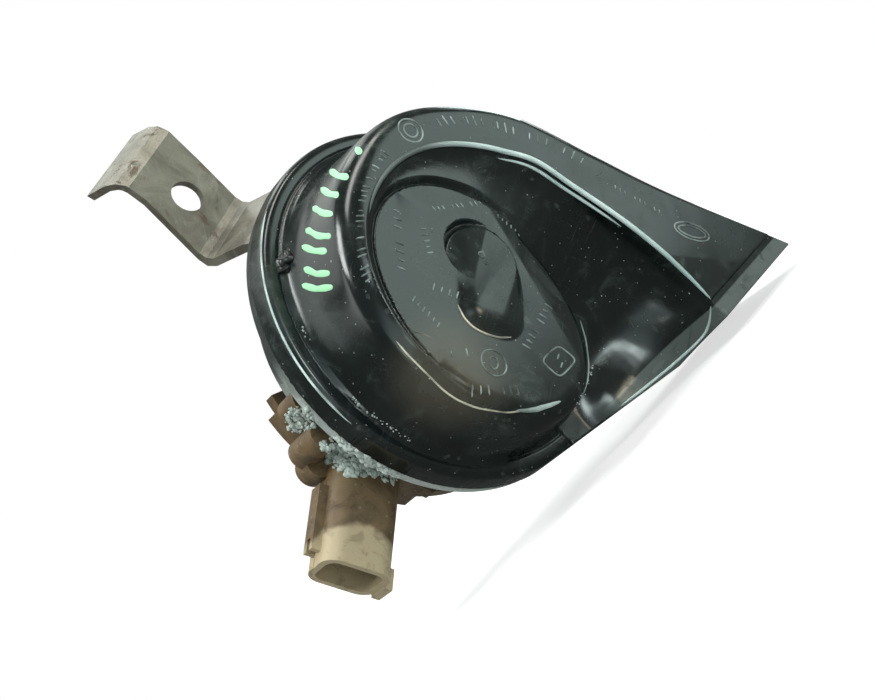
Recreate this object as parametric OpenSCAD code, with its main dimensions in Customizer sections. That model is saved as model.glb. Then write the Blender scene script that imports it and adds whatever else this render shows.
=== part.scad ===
/* [Trumpet] */
// radius of the round flange in mm
flange_r = 45; // [40:0.5:50]
// thickness of the flange
flange_h = 6.4; // [5:0.1:8]
// height of the inner drum plate above the flange's rear edge
drum_z = 25; // [22:0.5:28]
// half length of the inner drum plate, which is a little oval
drum_r = 29.8; // [28:0.1:31]
// height of the flat top at the mouth
mouth_z = 32; // [28:0.5:36]
// wall thickness of the moulding
wall_t = 2.2; // [1.6:0.1:3]
// distance from the axis to the mouth at its top edge
mouth_y = 48; // [44:0.5:54]

/* [Sound unit] */
// outer radius of the steel cup
cup_r = 38; // [34:0.5:41]
// depth of the cup behind the flange
cup_depth = 17; // [15:0.5:22]
// sheet thickness of the cup
cup_t = 1.2; // [0.8:0.1:2]
// gap between armature and core at rest
air_gap = 1.0; // [0.7:0.1:1.5]
// radius of the pole core
core_r = 7.5; // [6:0.5:9]

/* [Bracket] */
// width of the steel strap
strap_w = 21; // [18:0.5:24]
// thickness of the steel strap
strap_t = 2; // [1.5:0.1:3]
// radius of the mounting hole
hole_r = 4.25; // [3.5:0.25:5.5]
// distance from the axis to the mounting hole
hole_y = 61; // [50:1:75]
// depth of the strap's hole plate behind the flange
hole_z = 34; // [28:1:40]

/* [Connector] */
// width of the connector shroud across the flats
conn_w = 16.2; // [14:0.2:20]
// thickness of the connector shroud
conn_h = 12.4; // [10:0.2:15]
// distance from the root line to the shroud's open end
conn_end = 64.6; // [58:0.2:74]
// wall of the connector shroud
conn_wall = 1.5; // [1.2:0.1:2]

/* [Hidden] */
$fn = 64;
eps = 0.01;
hole_x = -2;
strap_dir = 93;
bend_dir = 17;
drum_c = [-9.6, -7.3];
drum_a = 23.7;
drum_dir = -5.9;
ridge_c = [-2.9, -4.6];
ridge_r = 31;
foot_r = 40.4;
conn_dir = 213.7;
conn_z = -14;
conn_off = 5.8;
plate_t = 3.2;
sweep_n = 80;
sweep_start = -16;
sweep_end = 318;

// smooth step from 0 at a to 1 at b
function ss(x, a, b) = let (u = min(1, max(0, (x - a) / (b - a)))) u * u * (3 - 2 * u);
// distance from the axis to a circle of radius r round c, in direction f
function reach(f, c, r) = let (d = cos(f) * c[0] + sin(f) * c[1])
  d + sqrt(d * d - c[0] * c[0] - c[1] * c[1] + r * r);
// direction for a place t along the spiral, in degrees of travel
function dir(t) = 225 - t;
// distance from the axis to the drum plate's oval outline
function reach_drum(f) = let (g = f - drum_dir, c = cos(g), n = sin(g),
  x = drum_c[0] * cos(drum_dir) + drum_c[1] * sin(drum_dir),
  y = drum_c[1] * cos(drum_dir) - drum_c[0] * sin(drum_dir),
  p = c * c / (drum_a * drum_a) + n * n / (drum_r * drum_r),
  q = x * c / (drum_a * drum_a) + y * n / (drum_r * drum_r),
  w = x * x / (drum_a * drum_a) + y * y / (drum_r * drum_r) - 1) (q + sqrt(q * q - p * w)) / p;
// outer edge of the spiral ridge
function flare(f) = 36.8 - 3.1 * sin(180 * min(1, max(0, (28 - f) / 70)));
function r_out(f) = f > 28 ? 36.8 + 2.6 * ss(f, 165, 212)
  : min(112, flare(f) / max(0.2, cos(f - 35)));
// radius of the ridge's outer wall just above the flange
function r_low(t) = let (f = dir(t), ro = edge_o(t))
  ro + 1.5 + max(0, foot_r - 1.5 + ss(f, 165, 212) - ro - 1.5) * ss(f, 28, 60);
// inner edge of the spiral ridge
function line_in(f) = min(96, (29.2 + 8.8 * ss(-f, -8, 50) + 4 * ss(-f, 48, 58)) / max(0.3, cos(f)));
function r_in(f) = let (w = ss(-f, -34, 10),
  c = reach(f, ridge_c, ridge_r) + 0.6 * cos(2 * (f - 120)) * ss(f, 20, 60))
  c * (1 - w) + line_in(min(f, 60)) * w;
// foot of the ridge's inner wall, just outside the drum
function r_foot(f) = min(reach_drum(f) + 0.2, r_out(f) - 5);
function z_ridge(t) = drum_z - 1.2 + 1.9 * ss(t, 8, 34)
  + (mouth_z - drum_z - 0.7) * min(1, max(0, t - 20) / 242);
function z_foot(t) = drum_z - 0.5 + 1.9 * ss(t, 50, 130) - 2.4 * ss(t, 165, 235)
  - (drum_z - flange_h - 1.6) * ss(t, 215, 312);
// concave rise of the inner wall, u from 0 at the foot to 1 at the ridge
function rise(u) = 1 - sqrt(max(0, 1 - u * u));
function wall_r(t, u) = let (f = dir(t), a = r_foot(f) + 1.1 * ss(t, 50, 100),
  b = max(r_in(f), a + 0.5)) a + (b - a) * u;
function wall_z(t, u) = z_foot(t) + (max(z_ridge(t) - 0.6, z_foot(t) + 0.1) - z_foot(t)) * rise(u);
function edge_o(t) = max(r_out(dir(t)), wall_r(t, 1) + 1.6);

// one radial section of the ridge, as [r, z] pairs
function ridge_section(t) = let (ro = edge_o(t), ri = wall_r(t, 1), z = z_ridge(t),
  a = r_foot(dir(t)), rl = r_low(t)) concat(
  [[a - 6, 1], [a - 6, min(drum_z - 1.4, z_foot(t) - 0.1)], [a - 0.1, min(drum_z - 0.7, z_foot(t) - 0.05)]],
  [for (k = [0 : 7]) let (u = sin(90 * k / 7)) [wall_r(t, u), wall_z(t, u)]],
  [[ri + 0.35, z - 0.18], [min(ri + 1, ro - 1.5), z], [max(ro - 3.6, ri + 1.1), z],
   [max(ro - 2, ri + 1.3), z - 0.35], [ro - 0.8, z - 1.3], [ro, z - 3.2],
   [(ro + rl) / 2, 13], [rl, flange_h + 2], [rl + 0.5, flange_h + 0.7], [rl + 1.4, flange_h - 0.07],
   [rl + 1.4, 1]]);
// one radial section of the sound channel inside the ridge
function ub(t) = 1 - 0.66 * ss(t, 215, 262);
function channel_section(t) = let (ro = edge_o(t) - wall_t, z = z_ridge(t) - wall_t,
  ri = wall_r(t, 1) + wall_t - 0.9) concat(
  [[wall_r(t, ub(t)) + wall_t - 0.9, plate_t - 2]],
  [for (k = [0 : 4]) let (u = ub(t) + (1 - ub(t)) * k / 5)
    [wall_r(t, u) + wall_t - 0.9, max(plate_t + 0.8, wall_z(t, u) - wall_t)]],
  [[ri + 0.2, z - 0.6], [min(ri + 1.2, ro - 1.4), z], [max(ro - 3, ri + 1.3), z - 0.1],
   [ro - 0.2, z - 2.2], [ro + 0.5, 12], [ro + 0.8, plate_t - 2]]);
function at_dir(p, f) = [p[0] * cos(f), p[0] * sin(f), p[1]];
// faces of a tube of n rings with m points, closed at both ends
function tube_faces(n, m) = concat(
  [for (i = [0 : n - 2], j = [0 : m - 1]) [i * m + j, i * m + (j + 1) % m, (i + 1) * m + j]],
  [for (i = [0 : n - 2], j = [0 : m - 1])
    [i * m + (j + 1) % m, (i + 1) * m + (j + 1) % m, (i + 1) * m + j]],
  [[for (j = [m - 1 : -1 : 0]) j]],
  [[for (j = [0 : m - 1]) (n - 1) * m + j]]);

// moves a part from the horn's own axis to the mounted frame
module mounted() {
  translate([-hole_x, -hole_z - strap_t / 2, -hole_y])
    rotate([90, 0, 0]) children();
}
module tube(r1, r2, z1, z2) {
  translate([0, 0, z1]) difference() {
    cylinder(r = r2, h = z2 - z1);
    translate([0, 0, -1]) cylinder(r = r1, h = z2 - z1 + 2);
  }
}
module disc(r, z1, z2) {
  translate([0, 0, z1]) cylinder(r = r, h = z2 - z1);
}

// solid form of the ridge that spirals from the drum to the mouth
module ridge_form() {
  pts = [for (i = [0 : sweep_n]) let (t = sweep_start + (sweep_end - sweep_start) * i / sweep_n)
    for (p = ridge_section(t)) at_dir(p, dir(t))];
  m = len(ridge_section(10));
  polyhedron(points = pts, faces = tube_faces(sweep_n + 1, m), convexity = 8);
}
module channel_form() {
  n = 56;
  pts = [for (i = [0 : n]) let (t = 68 + (sweep_end - 4 - 68) * i / n)
    for (p = channel_section(t)) at_dir(p, dir(t))];
  m = len(channel_section(10));
  polyhedron(points = pts, faces = tube_faces(n + 1, m), convexity = 8);
}
// outline of the flange with the straight run to the mouth, grown by g
module outlet(g) {
  polygon(concat([[0, 0]], [for (f = [30 : -4 : -34]) (r_out(f) + 3.2 + g) * [cos(f), sin(f)]],
    [[-6.5, -58], [-6.5, -40]]));
}
module below_edge(g) {
  rotate(-8.3) translate([-60, -144.6 - g]) square([260, 100]);
}
module outline(g) {
  difference() {
    union() {
      circle(r = flange_r + g, $fn = 120);
      outlet(g);
    }
    below_edge(g);
  }
}
// everything on the inner side of the mouth plane, set back by s
module mouth_side(s) {
  translate([0, -mouth_y + s, mouth_z]) rotate([-6.3, 0, 0])
    translate([-120, 0, -100]) cube([260, 160, 200]);
}
// a turned form stretched to the drum plate's oval
module oval() {
  translate([drum_c[0], drum_c[1], 0]) rotate(drum_dir) scale([drum_a / drum_r, 1, 1]) children();
}
module drum_form() {
  oval() rotate_extrude($fn = 96)
    polygon([[0, 1], [drum_r + 1.6, 1], [drum_r + 1.5, flange_h + 0.6], [drum_r + 1, drum_z - 7],
      [drum_r + 0.6, drum_z - 3.2], [drum_r + 0.1, drum_z - 1.8], [drum_r - 0.7, drum_z - 0.8],
      [drum_r - 1.7, drum_z - 0.2], [drum_r - 3, drum_z], [0, drum_z]]);
  // the plate keeps a sharp edge where the ridge rises round it
  intersection() {
    oval() translate([0, 0, drum_z - 4]) cylinder(r = drum_r, h = 4, $fn = 96);
    translate([-35.5, -14.6, 0]) rotate(13) cube([60, 60, 40]);
  }
  // foot of the outer wall, one circle with the flange
  rotate_extrude($fn = 120)
    polygon([[30, 1.2], [foot_r - 0.3, 1.2], [foot_r - 0.3, flange_h], [foot_r - 1.2, flange_h + 0.6],
      [foot_r - 1.7, flange_h + 1.7], [30, flange_h + 1.7]]);
}
module flange_form() {
  rotate_extrude($fn = 120)
    polygon([[0, 0], [flange_r, 0], [flange_r, flange_h - 1.8], [flange_r - 0.4, flange_h - 0.8],
      [flange_r - 1.2, flange_h - 0.1], [flange_r - 1.9, flange_h], [flange_r - 2.1, flange_h - 0.5],
      [flange_r - 3.8, flange_h - 0.5], [flange_r - 4.1, flange_h - 0.1], [0, flange_h - 0.1]]);
  translate([0, 0, 0.02]) linear_extrude(height = flange_h - 0.3) outlet(0);
}
// the round pocket over the throat, which sinks towards the top of the plate
module throat_recess() {
  translate([-1.6, 1.5, drum_z - 0.45]) rotate([0, 0, 25]) rotate([-10, 0, 0])
    cylinder(r = 8.2, h = 12, $fn = 48);
}
// the throat's cover: a tilted disc that swells out into a blunt nose
module nose_form() {
  hull() {
    translate([-1.8, -0.4, drum_z - 2.15]) rotate([0, 0, 25]) rotate([-9, 0, 0])
      cylinder(r = 8.3, h = 2.05, $fn = 44);
    translate([-10.6, -11, drum_z - 7.6]) scale([1, 1, 0.92]) sphere(r = 10.8, $fn = 44);
  }
}
module shell_solid() {
  intersection() {
    union() {
      difference() {
        union() {
          ridge_form();
          drum_form();
        }
        throat_recess();
      }
      nose_form();
      flange_form();
    }
    difference() {
      mouth_side(0);
      translate([0, 0, -5]) linear_extrude(height = 60) below_edge(0);
    }
  }
}

module trumpet_shell() {
  color([0.05, 0.07, 0.065]) mounted() shell_local();
}
module shell_local() {
  resize([0, 0, mouth_z]) difference() {
    shell_solid();
    // the mouth's lip lies a little below the flat top
    translate([20, -70, mouth_z - 0.9]) cube([80, 70 - 42.6, 10]);
    channel_form();
    // first chamber under the drum plate
    difference() {
      oval() translate([0, 0, plate_t - 2])
        cylinder(r = drum_r - wall_t, h = drum_z - wall_t - plate_t + 2, $fn = 72);
      translate([0, 0, drum_z - 6.4]) cylinder(r = 12, h = 10, $fn = 32);
    }
    // passage from the chamber into the ridge
    rotate([0, 0, 150]) translate([22, -6, plate_t - 1]) cube([11.5, 12, drum_z - 9]);
    // seat of the base plate
    translate([0, 0, -1]) linear_extrude(height = plate_t + 1) outline(-2.4);
  }
}

// rear plate that closes the trumpet, with the throat in its middle
module trumpet_base() {
  color([0.06, 0.07, 0.07]) mounted() difference() {
    union() {
      intersection() {
        linear_extrude(height = plate_t) outline(-2.6);
        mouth_side(0.2);
      }
      cylinder(r = 8.4, h = 8);
    }
    translate([0, 0, -1]) cylinder(r = 6, h = 12);
    translate([0, 0, -1]) cylinder(r = 34, h = 2);
  }
}
module throat_gasket() {
  color([0.12, 0.12, 0.11]) mounted() tube(36.5, 41.9, -0.5, 0);
}
module diaphragm() {
  color([0.62, 0.62, 0.6]) mounted() tube(2.4, 42.9, -0.8, -0.5);
}
module crimp_ring() {
  color([0.6, 0.61, 0.6]) mounted() rotate_extrude($fn = 120)
    polygon([[42, 0], [44.1, 0], [44.4, -0.4], [44.4, -2.7], [44, -3], [40.4, -3],
      [40.4, -2.05], [43, -2.05], [43, -0.5], [42, -0.5]]);
}
module seal_ring() {
  color([0.5, 0.5, 0.47]) mounted() tube(38.6, 42.9, -2.04, -1.8);
}
module body_cup() {
  color([0.55, 0.56, 0.55]) mounted() difference() {
    rotate_extrude($fn = 120)
      polygon([[42.9, -0.8], [42.9, -1.8], [cup_r + 0.3, -1.8], [cup_r - 1.4, -cup_depth + 2],
        [cup_r - 3.2, -cup_depth], [0, -cup_depth], [0, -cup_depth + cup_t],
        [cup_r - 3.7, -cup_depth + cup_t], [cup_r - 2.6, -cup_depth + 2.4], [cup_r - 0.9, -0.8]]);
    translate([0, 0, -cup_depth - 1]) cylinder(r = 4.05, h = 4);
    translate([23.6, 0, -cup_depth - 1]) cylinder(r = 2, h = 4);
    for (f = [176, 252]) rotate([0, 0, f]) translate([28, 0, -cup_depth - 1]) cylinder(r = 1.7, h = 4);
    rotate([0, 0, conn_dir]) for (s = [-1, 1])
      translate([29.4, -conn_off + s * 3.2, -cup_depth - 1]) cylinder(r = 1.6, h = 4);
  }
}
module armature() {
  color([0.5, 0.5, 0.52]) mounted() difference() {
    union() {
      disc(12, -3.4, -0.85);
      disc(8.2, -5.9, -3.4);
    }
    translate([0, 0, -7]) cylinder(r = 2.4, h = 8);
  }
}
module armature_rivet() {
  color([0.66, 0.66, 0.62]) mounted() {
    disc(2.4, -5, -0.4);
    translate([0, 0, -0.45]) rotate_extrude()
      polygon([[0, 0], [4.6, 0], [4.4, 0.7], [3.4, 1.3], [0, 1.6]]);
  }
}
module pole_core() {
  color([0.5, 0.5, 0.5]) mounted() {
    disc(core_r, -cup_depth + cup_t, -5.9 - air_gap);
    disc(4, -cup_depth - 12, -cup_depth + cup_t + 1);
  }
}
module coil_bobbin() {
  color([0.75, 0.72, 0.62]) mounted() {
    tube(core_r + 0.15, core_r + 1.35, -cup_depth + cup_t + 0.1, -7.1);
    tube(core_r + 0.15, 19.6, -cup_depth + cup_t + 0.1, -cup_depth + cup_t + 1.1);
    tube(core_r + 0.15, 19.6, -8.1, -7.1);
  }
}
module coil_winding() {
  color([0.72, 0.38, 0.16]) mounted()
    tube(core_r + 1.4, 17.8, -cup_depth + cup_t + 1.15, -8.15);
}
// a wire of radius r swept along the points of path p
function unit(v) = v / norm(v);
function run_dir(p, i) = unit(p[min(i + 1, len(p) - 1)] - p[max(i - 1, 0)]);
function bend(a, b, c, d, n) = [for (i = [0 : n]) let (t = i / n, s = 1 - t)
  s * s * s * a + 3 * s * s * t * b + 3 * s * t * t * c + t * t * t * d];
module lead(p, r) {
  m = 12;
  pts = [for (i = [0 : len(p) - 1]) let (t = run_dir(p, i), s = unit(cross(t, [0, 0, 1])), u = cross(s, t))
    for (j = [0 : m - 1]) p[i] + r * (cos(360 * j / m) * s + sin(360 * j / m) * u)];
  polyhedron(points = pts, faces = tube_faces(len(p), m), convexity = 6);
}
module coil_leads() {
  color([0.7, 0.42, 0.2]) mounted() {
    lead(bend([18.2, 3.2, -12], [22, 8, -12], [28.5, 12, -9], [28.5, 6.1, -9], 9), 0.45);
    lead(bend([-15.6, -9.6, -12], [-19, -13, -12], [-25, -9, -13.35], [-29, -8.8, -13.35], 8), 0.45);
    lead(bend([-25.6, -14.6, -13.35], [-12, -38, -13], [22, -32, -12], [26.4, -3.5, -11], 14), 0.45);
  }
}
module contact_base() {
  color([0.32, 0.2, 0.12]) mounted() {
    translate([27, -6, -cup_depth + cup_t]) cube([5.6, 12, cup_depth - cup_t - 4.3]);
    translate([27, -4, -3.9]) cube([5.6, 8, 1.4]);
  }
}
module moving_contact() {
  color([0.72, 0.64, 0.4]) mounted() translate([9.6, -3, -4.3]) cube([23, 6, 0.4]);
}
module moving_point() {
  color([0.4, 0.4, 0.42]) mounted() translate([0, 0, 0]) {
    translate([18.6, 0, -3.9]) cylinder(r = 1.7, h = 0.65);
  }
}
module push_tip() {
  color([0.3, 0.18, 0.1]) mounted() translate([9.8, -2.4, -3.9]) cube([1.9, 4.8, 0.4]);
}
module fixed_contact() {
  color([0.75, 0.66, 0.38]) mounted() translate([16.4, -3.4, -2.5]) cube([16.2, 6.8, 0.6]);
}
module fixed_point() {
  color([0.4, 0.4, 0.42]) mounted() translate([18.6, 0, -3.2]) cylinder(r = 1.7, h = 0.7);
}
module adjusting_screw() {
  color([0.6, 0.55, 0.35]) mounted() difference() {
    union() {
      translate([23.6, 0, -cup_depth - 0.02]) cylinder(r = 2, h = cup_depth - 4.6);
      translate([23.6, 0, -cup_depth - 2.6]) rotate_extrude()
        polygon([[0, 0], [2.8, 0], [3.5, 0.6], [3.5, 2.58], [0, 2.58]]);
    }
    translate([18, -0.5, -cup_depth - 3]) cube([12, 1, 1.8]);
  }
}

// rounded outline of the connector shroud, drawn about its centre
module shroud(g) {
  w = conn_w / 2 + g;
  h = conn_h / 2 + g;
  r = 4 + g;
  square([2 * h, 2 * (w - r)], center = true);
  square([2 * (h - r), 2 * w], center = true);
  for (a = [-1, 1], b = [-1, 1]) translate([a * (h - r), b * (w - r)]) circle(r = r, $fn = 40);
}
// stands a drawing along the connector's axis, from u = a to u = b
module along(a, b) {
  rotate([0, 0, conn_dir]) translate([a, -conn_off, conn_z - 0.1]) rotate([0, 90, 0])
    linear_extrude(height = b - a) children();
}
module sector(r1, r2, a1, a2, z1, z2) {
  intersection() {
    tube(r1, r2, z1, z2);
    translate([0, 0, z1 - 1]) linear_extrude(height = z2 - z1 + 2)
      polygon([[0, 0], 60 * [cos(a1), sin(a1)], 75 * [cos((2 * a1 + a2) / 3), sin((2 * a1 + a2) / 3)],
        75 * [cos((a1 + 2 * a2) / 3), sin((a1 + 2 * a2) / 3)], 60 * [cos(a2), sin(a2)]]);
  }
}
module terminal_cap() {
  color([0.55, 0.44, 0.3]) mounted() difference() {
    union() {
      sector(38.8, 40.6, 172, 226, -18.6, -5);
      sector(15, 38.2, 166, 256, -20, -cup_depth - 0.05);
      sector(37, 40.6, 172, 226, -20, -cup_depth - 0.05);
      along(33, conn_end) shroud(0);
      // guide rib on the side nearer the flange, and the locking tab on the other
      along(46, conn_end - 3) translate([0, -conn_w / 2 - 0.9]) square([4, 2.4], center = true);
      along(conn_end - 4.5, conn_end + 0.6)
        translate([1.5, conn_w / 2 + 0.7]) square([6, 2], center = true);
      translate([-42.4, -5.2, -16.4]) cylinder(r = 3.5, h = 11);
      translate([-38.5, 3.2, -14.6]) cylinder(r = 3.3, h = 7.6);
      translate([-41.6, -9, -19.4]) cylinder(r = 3.8, h = 5.4);
      translate([0, 0, -12.4]) linear_extrude(height = 3.4)
        polygon([[-20, -34.4], [-24.6, -31.4], [-28.4, -30.9], [-31, -26], [-28, -24], [-18, -32]]);
      translate([0, 0, -18]) linear_extrude(height = 11)
        polygon([[-38.6, 5.6], [-41.4, -5], [-38, -9.6], [-36.4, -9], [-36.4, 5.6]]);
    }
    translate([0, 0, -cup_depth - 0.05]) cylinder(r = 38.8, h = 20, $fn = 120);
    // socket, open at the end of the shroud
    along(44, conn_end + 4) shroud(-conn_wall);
    rotate([0, 0, conn_dir]) for (s = [-1, 1]) translate([0, -conn_off + s * 3.2, 0]) {
      pin_blade(0.05, 46);
      translate([29.4, 0, -21]) cylinder(r = 1.6, h = 6);
    }
    for (f = [176, 252]) rotate([0, 0, f]) translate([28, 0, -21]) cylinder(r = 1.7, h = 6);
    translate([-42.4, -5.2, -17]) cylinder(r = 1.5, h = 8);
    // side slot of the guide rib
    along(conn_end - 6, conn_end + 4) translate([0, -conn_w / 2 - 1.4]) square([1.4, 3], center = true);
  }
}
// one contact blade: along the cup's floor, forward, then out to u = b, grown by g
module pin_blade(g, b) {
  translate([28 - g, -1.4 - g, -19 - g]) cube([13 + 2 * g, 2.8 + 2 * g, 0.8 + 2 * g]);
  translate([40.2 - g, -1.4 - g, -19 - g]) cube([0.8 + 2 * g, 2.8 + 2 * g, conn_z + 19.3 + 2 * g]);
  translate([40.2 - g, -1.4 - g, conn_z - 0.5 - g]) cube([b - 40.2 + g, 2.8 + 2 * g, 0.8 + 2 * g]);
}
module terminal_pins() {
  color([0.7, 0.7, 0.66]) mounted() rotate([0, 0, conn_dir]) for (s = [-1, 1])
    translate([0, -conn_off + s * 3.2, 0]) {
      pin_blade(0, conn_end - 4);
      translate([29.4, 0, -18.6]) cylinder(r = 1.4, h = 4.7, $fn = 24);
    }
}
module cap_rivets() {
  color([0.6, 0.6, 0.58]) mounted() for (f = [176, 252]) rotate([0, 0, f])
    translate([28, 0, 0]) {
      disc(1.65, -20.05, -cup_depth + cup_t + 0.5);
      translate([0, 0, -21.3]) rotate_extrude() polygon([[0, 0], [2.2, 0.1], [3.1, 0.8], [3.1, 1.3], [0, 1.3]]);
      disc(2.8, -cup_depth + cup_t, -cup_depth + cup_t + 0.9);
    }
}

// side profile of the strap, drawn along its run, drawn with its front face on top
module strap_side() {
  z0 = -cup_depth;
  z1 = -hole_z;
  polygon([[-12, z0], [38.6, z0], [41.2, z0 - 1.2], [42.2, z0 - 3], [45.6, z1 + 2.4], [47, z1 + 0.7],
    [49, z1], [71.5, z1], [74.6, z1 - 1.2], [76.4, z1 - 3.4], [78.6, z1 - 9.4],
    [76.6, z1 - 10], [74.6, z1 - 4.3], [73.2, z1 - 2.7], [71, z1 - strap_t], [48.4, z1 - strap_t],
    [45.6, z1 - strap_t + 0.8], [43.8, z1 + 1.4], [40.2, z0 - 3.4], [39.4, z0 - strap_t],
    [38, z0 - strap_t], [-12, z0 - strap_t]]);
}
module strap_top() {
  rotate([0, 0, strap_dir - 90]) difference() {
    union() {
      circle(r = strap_w / 2, $fn = 72);
      polygon([[-strap_w / 2, 0], [strap_w / 2, 0], [strap_w / 2 + 1.6, 36], [strap_w / 2 + 1.6, 68],
        [-strap_w / 2 + 1.6, 68], [-strap_w / 2 + 1.6, 36]]);
      translate([-strap_w / 2 + 1.6, 66]) polygon([[0, 0], [strap_w, 0], [strap_w - 0.3, 12],
        [strap_w - 3, 24], [-6.5, 24], [-6, 14], [-1.2, 6]]);
    }
  }
}
module bracket_strap() {
  color([0.42, 0.39, 0.34]) mounted() difference() {
    intersection() {
      translate([0, 0, -60]) linear_extrude(height = 60) strap_top();
      rotate([0, 0, bend_dir]) translate([60, 0, 0]) rotate([90, 0, -90])
        linear_extrude(height = 120) mirror([1, 0]) rotate(0) strap_side();
    }
    translate([0, 0, -60]) cylinder(r = 4.3, h = 60);
    translate([hole_x, hole_y, -60]) cylinder(r = hole_r, h = 60);
  }
}
module lock_washer() {
  color([0.5, 0.5, 0.5]) mounted() difference() {
    tube(4.2, 7.2, -cup_depth - strap_t - 2.05, -cup_depth - strap_t - 0.05);
    translate([3, -0.6, -40]) cube([8, 1.2, 30]);
  }
}
module mounting_nut() {
  color([0.58, 0.58, 0.56]) mounted() translate([0, 0, -cup_depth - strap_t - 8.6]) difference() {
    cylinder(r = 7.5, h = 6.5, $fn = 6);
    translate([0, 0, -1]) cylinder(r = 4.02, h = 9);
  }
}

trumpet_shell();
trumpet_base();
throat_gasket();
diaphragm();
crimp_ring();
body_cup();
armature();
armature_rivet();
pole_core();
coil_bobbin();
coil_winding();
coil_leads();
contact_base();
fixed_contact();
fixed_point();
moving_contact();
moving_point();
push_tip();
adjusting_screw();
terminal_cap();
terminal_pins();
cap_rivets();
seal_ring();
bracket_strap();
lock_washer();
mounting_nut();
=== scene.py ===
import math

import bmesh
import bpy
import numpy as np
from mathutils import Euler, Matrix, Vector


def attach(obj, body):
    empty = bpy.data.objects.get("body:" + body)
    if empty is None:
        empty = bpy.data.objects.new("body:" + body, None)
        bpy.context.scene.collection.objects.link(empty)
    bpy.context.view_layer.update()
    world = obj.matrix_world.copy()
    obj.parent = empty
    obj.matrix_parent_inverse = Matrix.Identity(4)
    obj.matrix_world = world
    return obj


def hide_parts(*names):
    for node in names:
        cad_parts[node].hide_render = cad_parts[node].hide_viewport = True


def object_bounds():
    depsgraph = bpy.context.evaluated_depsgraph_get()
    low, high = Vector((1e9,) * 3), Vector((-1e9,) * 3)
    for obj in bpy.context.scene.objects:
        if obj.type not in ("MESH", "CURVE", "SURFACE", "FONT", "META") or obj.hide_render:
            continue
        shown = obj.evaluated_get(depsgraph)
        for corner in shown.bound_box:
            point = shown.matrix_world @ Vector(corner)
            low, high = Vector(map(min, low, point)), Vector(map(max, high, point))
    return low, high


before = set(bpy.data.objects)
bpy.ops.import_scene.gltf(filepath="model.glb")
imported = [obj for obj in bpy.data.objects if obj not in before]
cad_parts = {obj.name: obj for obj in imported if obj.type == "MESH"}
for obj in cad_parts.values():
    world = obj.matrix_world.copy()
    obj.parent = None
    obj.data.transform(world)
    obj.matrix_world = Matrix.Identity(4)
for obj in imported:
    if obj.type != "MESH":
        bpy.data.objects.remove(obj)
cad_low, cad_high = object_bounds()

scene = bpy.context.scene
scene.view_settings.view_transform = "Standard"

camera_data = bpy.data.cameras.new("photo_camera")
camera_data.sensor_width = 36.0
camera_data.lens = 62.683
camera_data.clip_start = 0.01
photo_camera = bpy.data.objects.new("photo_camera", camera_data)
scene.collection.objects.link(photo_camera)
CAMERA_PLACE = (-0.2397317, -0.2881616, -0.0692706)
CAMERA_TURN = (90.0, 42.5803, -42.8584)
turned = Euler([math.radians(turn) for turn in CAMERA_TURN])
photo_camera.matrix_world = Matrix.LocRotScale(Vector(CAMERA_PLACE), turned, None)
scene.camera = photo_camera


def put(tree, kind, inputs, **settings):
    """A new shader node of that kind, with its inputs linked or set by name or place."""
    node = tree.nodes.new("ShaderNode" + kind)
    for key, value in settings.items():
        setattr(node, key, value)
    for key, value in inputs.items():
        if isinstance(value, bpy.types.NodeSocket):
            tree.links.new(value, node.inputs[key])
        else:
            node.inputs[key].default_value = value
    return node


def ramp(tree, value, low, high, to_low=0.0, to_high=1.0):
    """value carried smoothly from low..high to to_low..to_high."""
    inputs = {0: value, 1: low, 2: high, 3: to_low, 4: to_high}
    return put(tree, "MapRange", inputs, interpolation_type="SMOOTHSTEP").outputs[0]


def math_of(tree, operation, *values):
    """One operation on numbers or sockets."""
    return put(tree, "Math", dict(enumerate(values)), operation=operation).outputs[0]


# the room is dim, with soft panels far off in the directions given: each has a centre, the direction
# of its long side, half its length and width and its soft edge in degrees, a strength and a colour
world = bpy.data.worlds.new("dim_room_with_panels")
scene.world = world
world.use_nodes = True
sky = world.node_tree
sky.nodes.clear()
looking = put(sky, "TexCoord", {}).outputs["Generated"]
PANELS = {
    "broad_window": ((0.713, -0.701, 0.02), (0, 0, 1), 11, 9.5, 2.5, 2.5, (0.80, 1.0, 0.95)),
    "low_key": ((0.481, -0.535, 0.695), (1, 0.9, 0), 6, 4, 4, 9.0, (1.0, 0.99, 0.93)),
    "top_front": ((0.15, -0.58, 0.80), (1, 0, 0), 11, 4, 3, 9.0, (0.98, 1.0, 0.98)),
    "back_ceiling": ((0.10, 0.50, 0.86), (1, 0, 0), 34, 13, 6, 1.7, (0.95, 1.0, 0.96)),
    "over_left": ((-0.52, -0.01, 0.85), (-0.60, 0.25, -0.40), 13, 6.5, 4, 17.0, (0.95, 1.0, 0.98)),
    "over_right": ((0.39, 0.10, 0.91), (0, 1, 0), 8, 5, 4, 5.0, (0.97, 1.0, 0.97)),
    "back_left": ((-0.70, 0.47, 0.54), (0.19, -0.30, 0.64), 10, 2.5, 6, 2.6, (0.95, 1.0, 0.98)),
    "left_lamp": ((-0.835, -0.545, -0.07), (0, 0, 1), 4, 3, 2.5, 6.0, (0.93, 1.0, 0.93)),
    "left_room": ((-0.642, -0.765, 0.05), (1, -0.8, 0), 22, 6, 8, 1.4, (0.78, 1.0, 0.97)),
    "nose_lamp": ((0.42, -0.905, 0.02), (0, 0, 1), 4, 2.5, 2, 11.0, (1.0, 0.92, 0.72)),
    "front_lamp": ((-0.02, -0.98, 0.18), (1, 0, 0.3), 6, 3.5, 4, 14.0, (0.84, 1.0, 0.98)),
    "right_lamp": ((0.93, 0.10, 0.30), (0, 1, 0), 14, 4, 3, 8.0, (0.85, 1.0, 0.98)),
}
GLOSS_SHARE = 0.04
room_light = (0.135, 0.14, 0.13)
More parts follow.
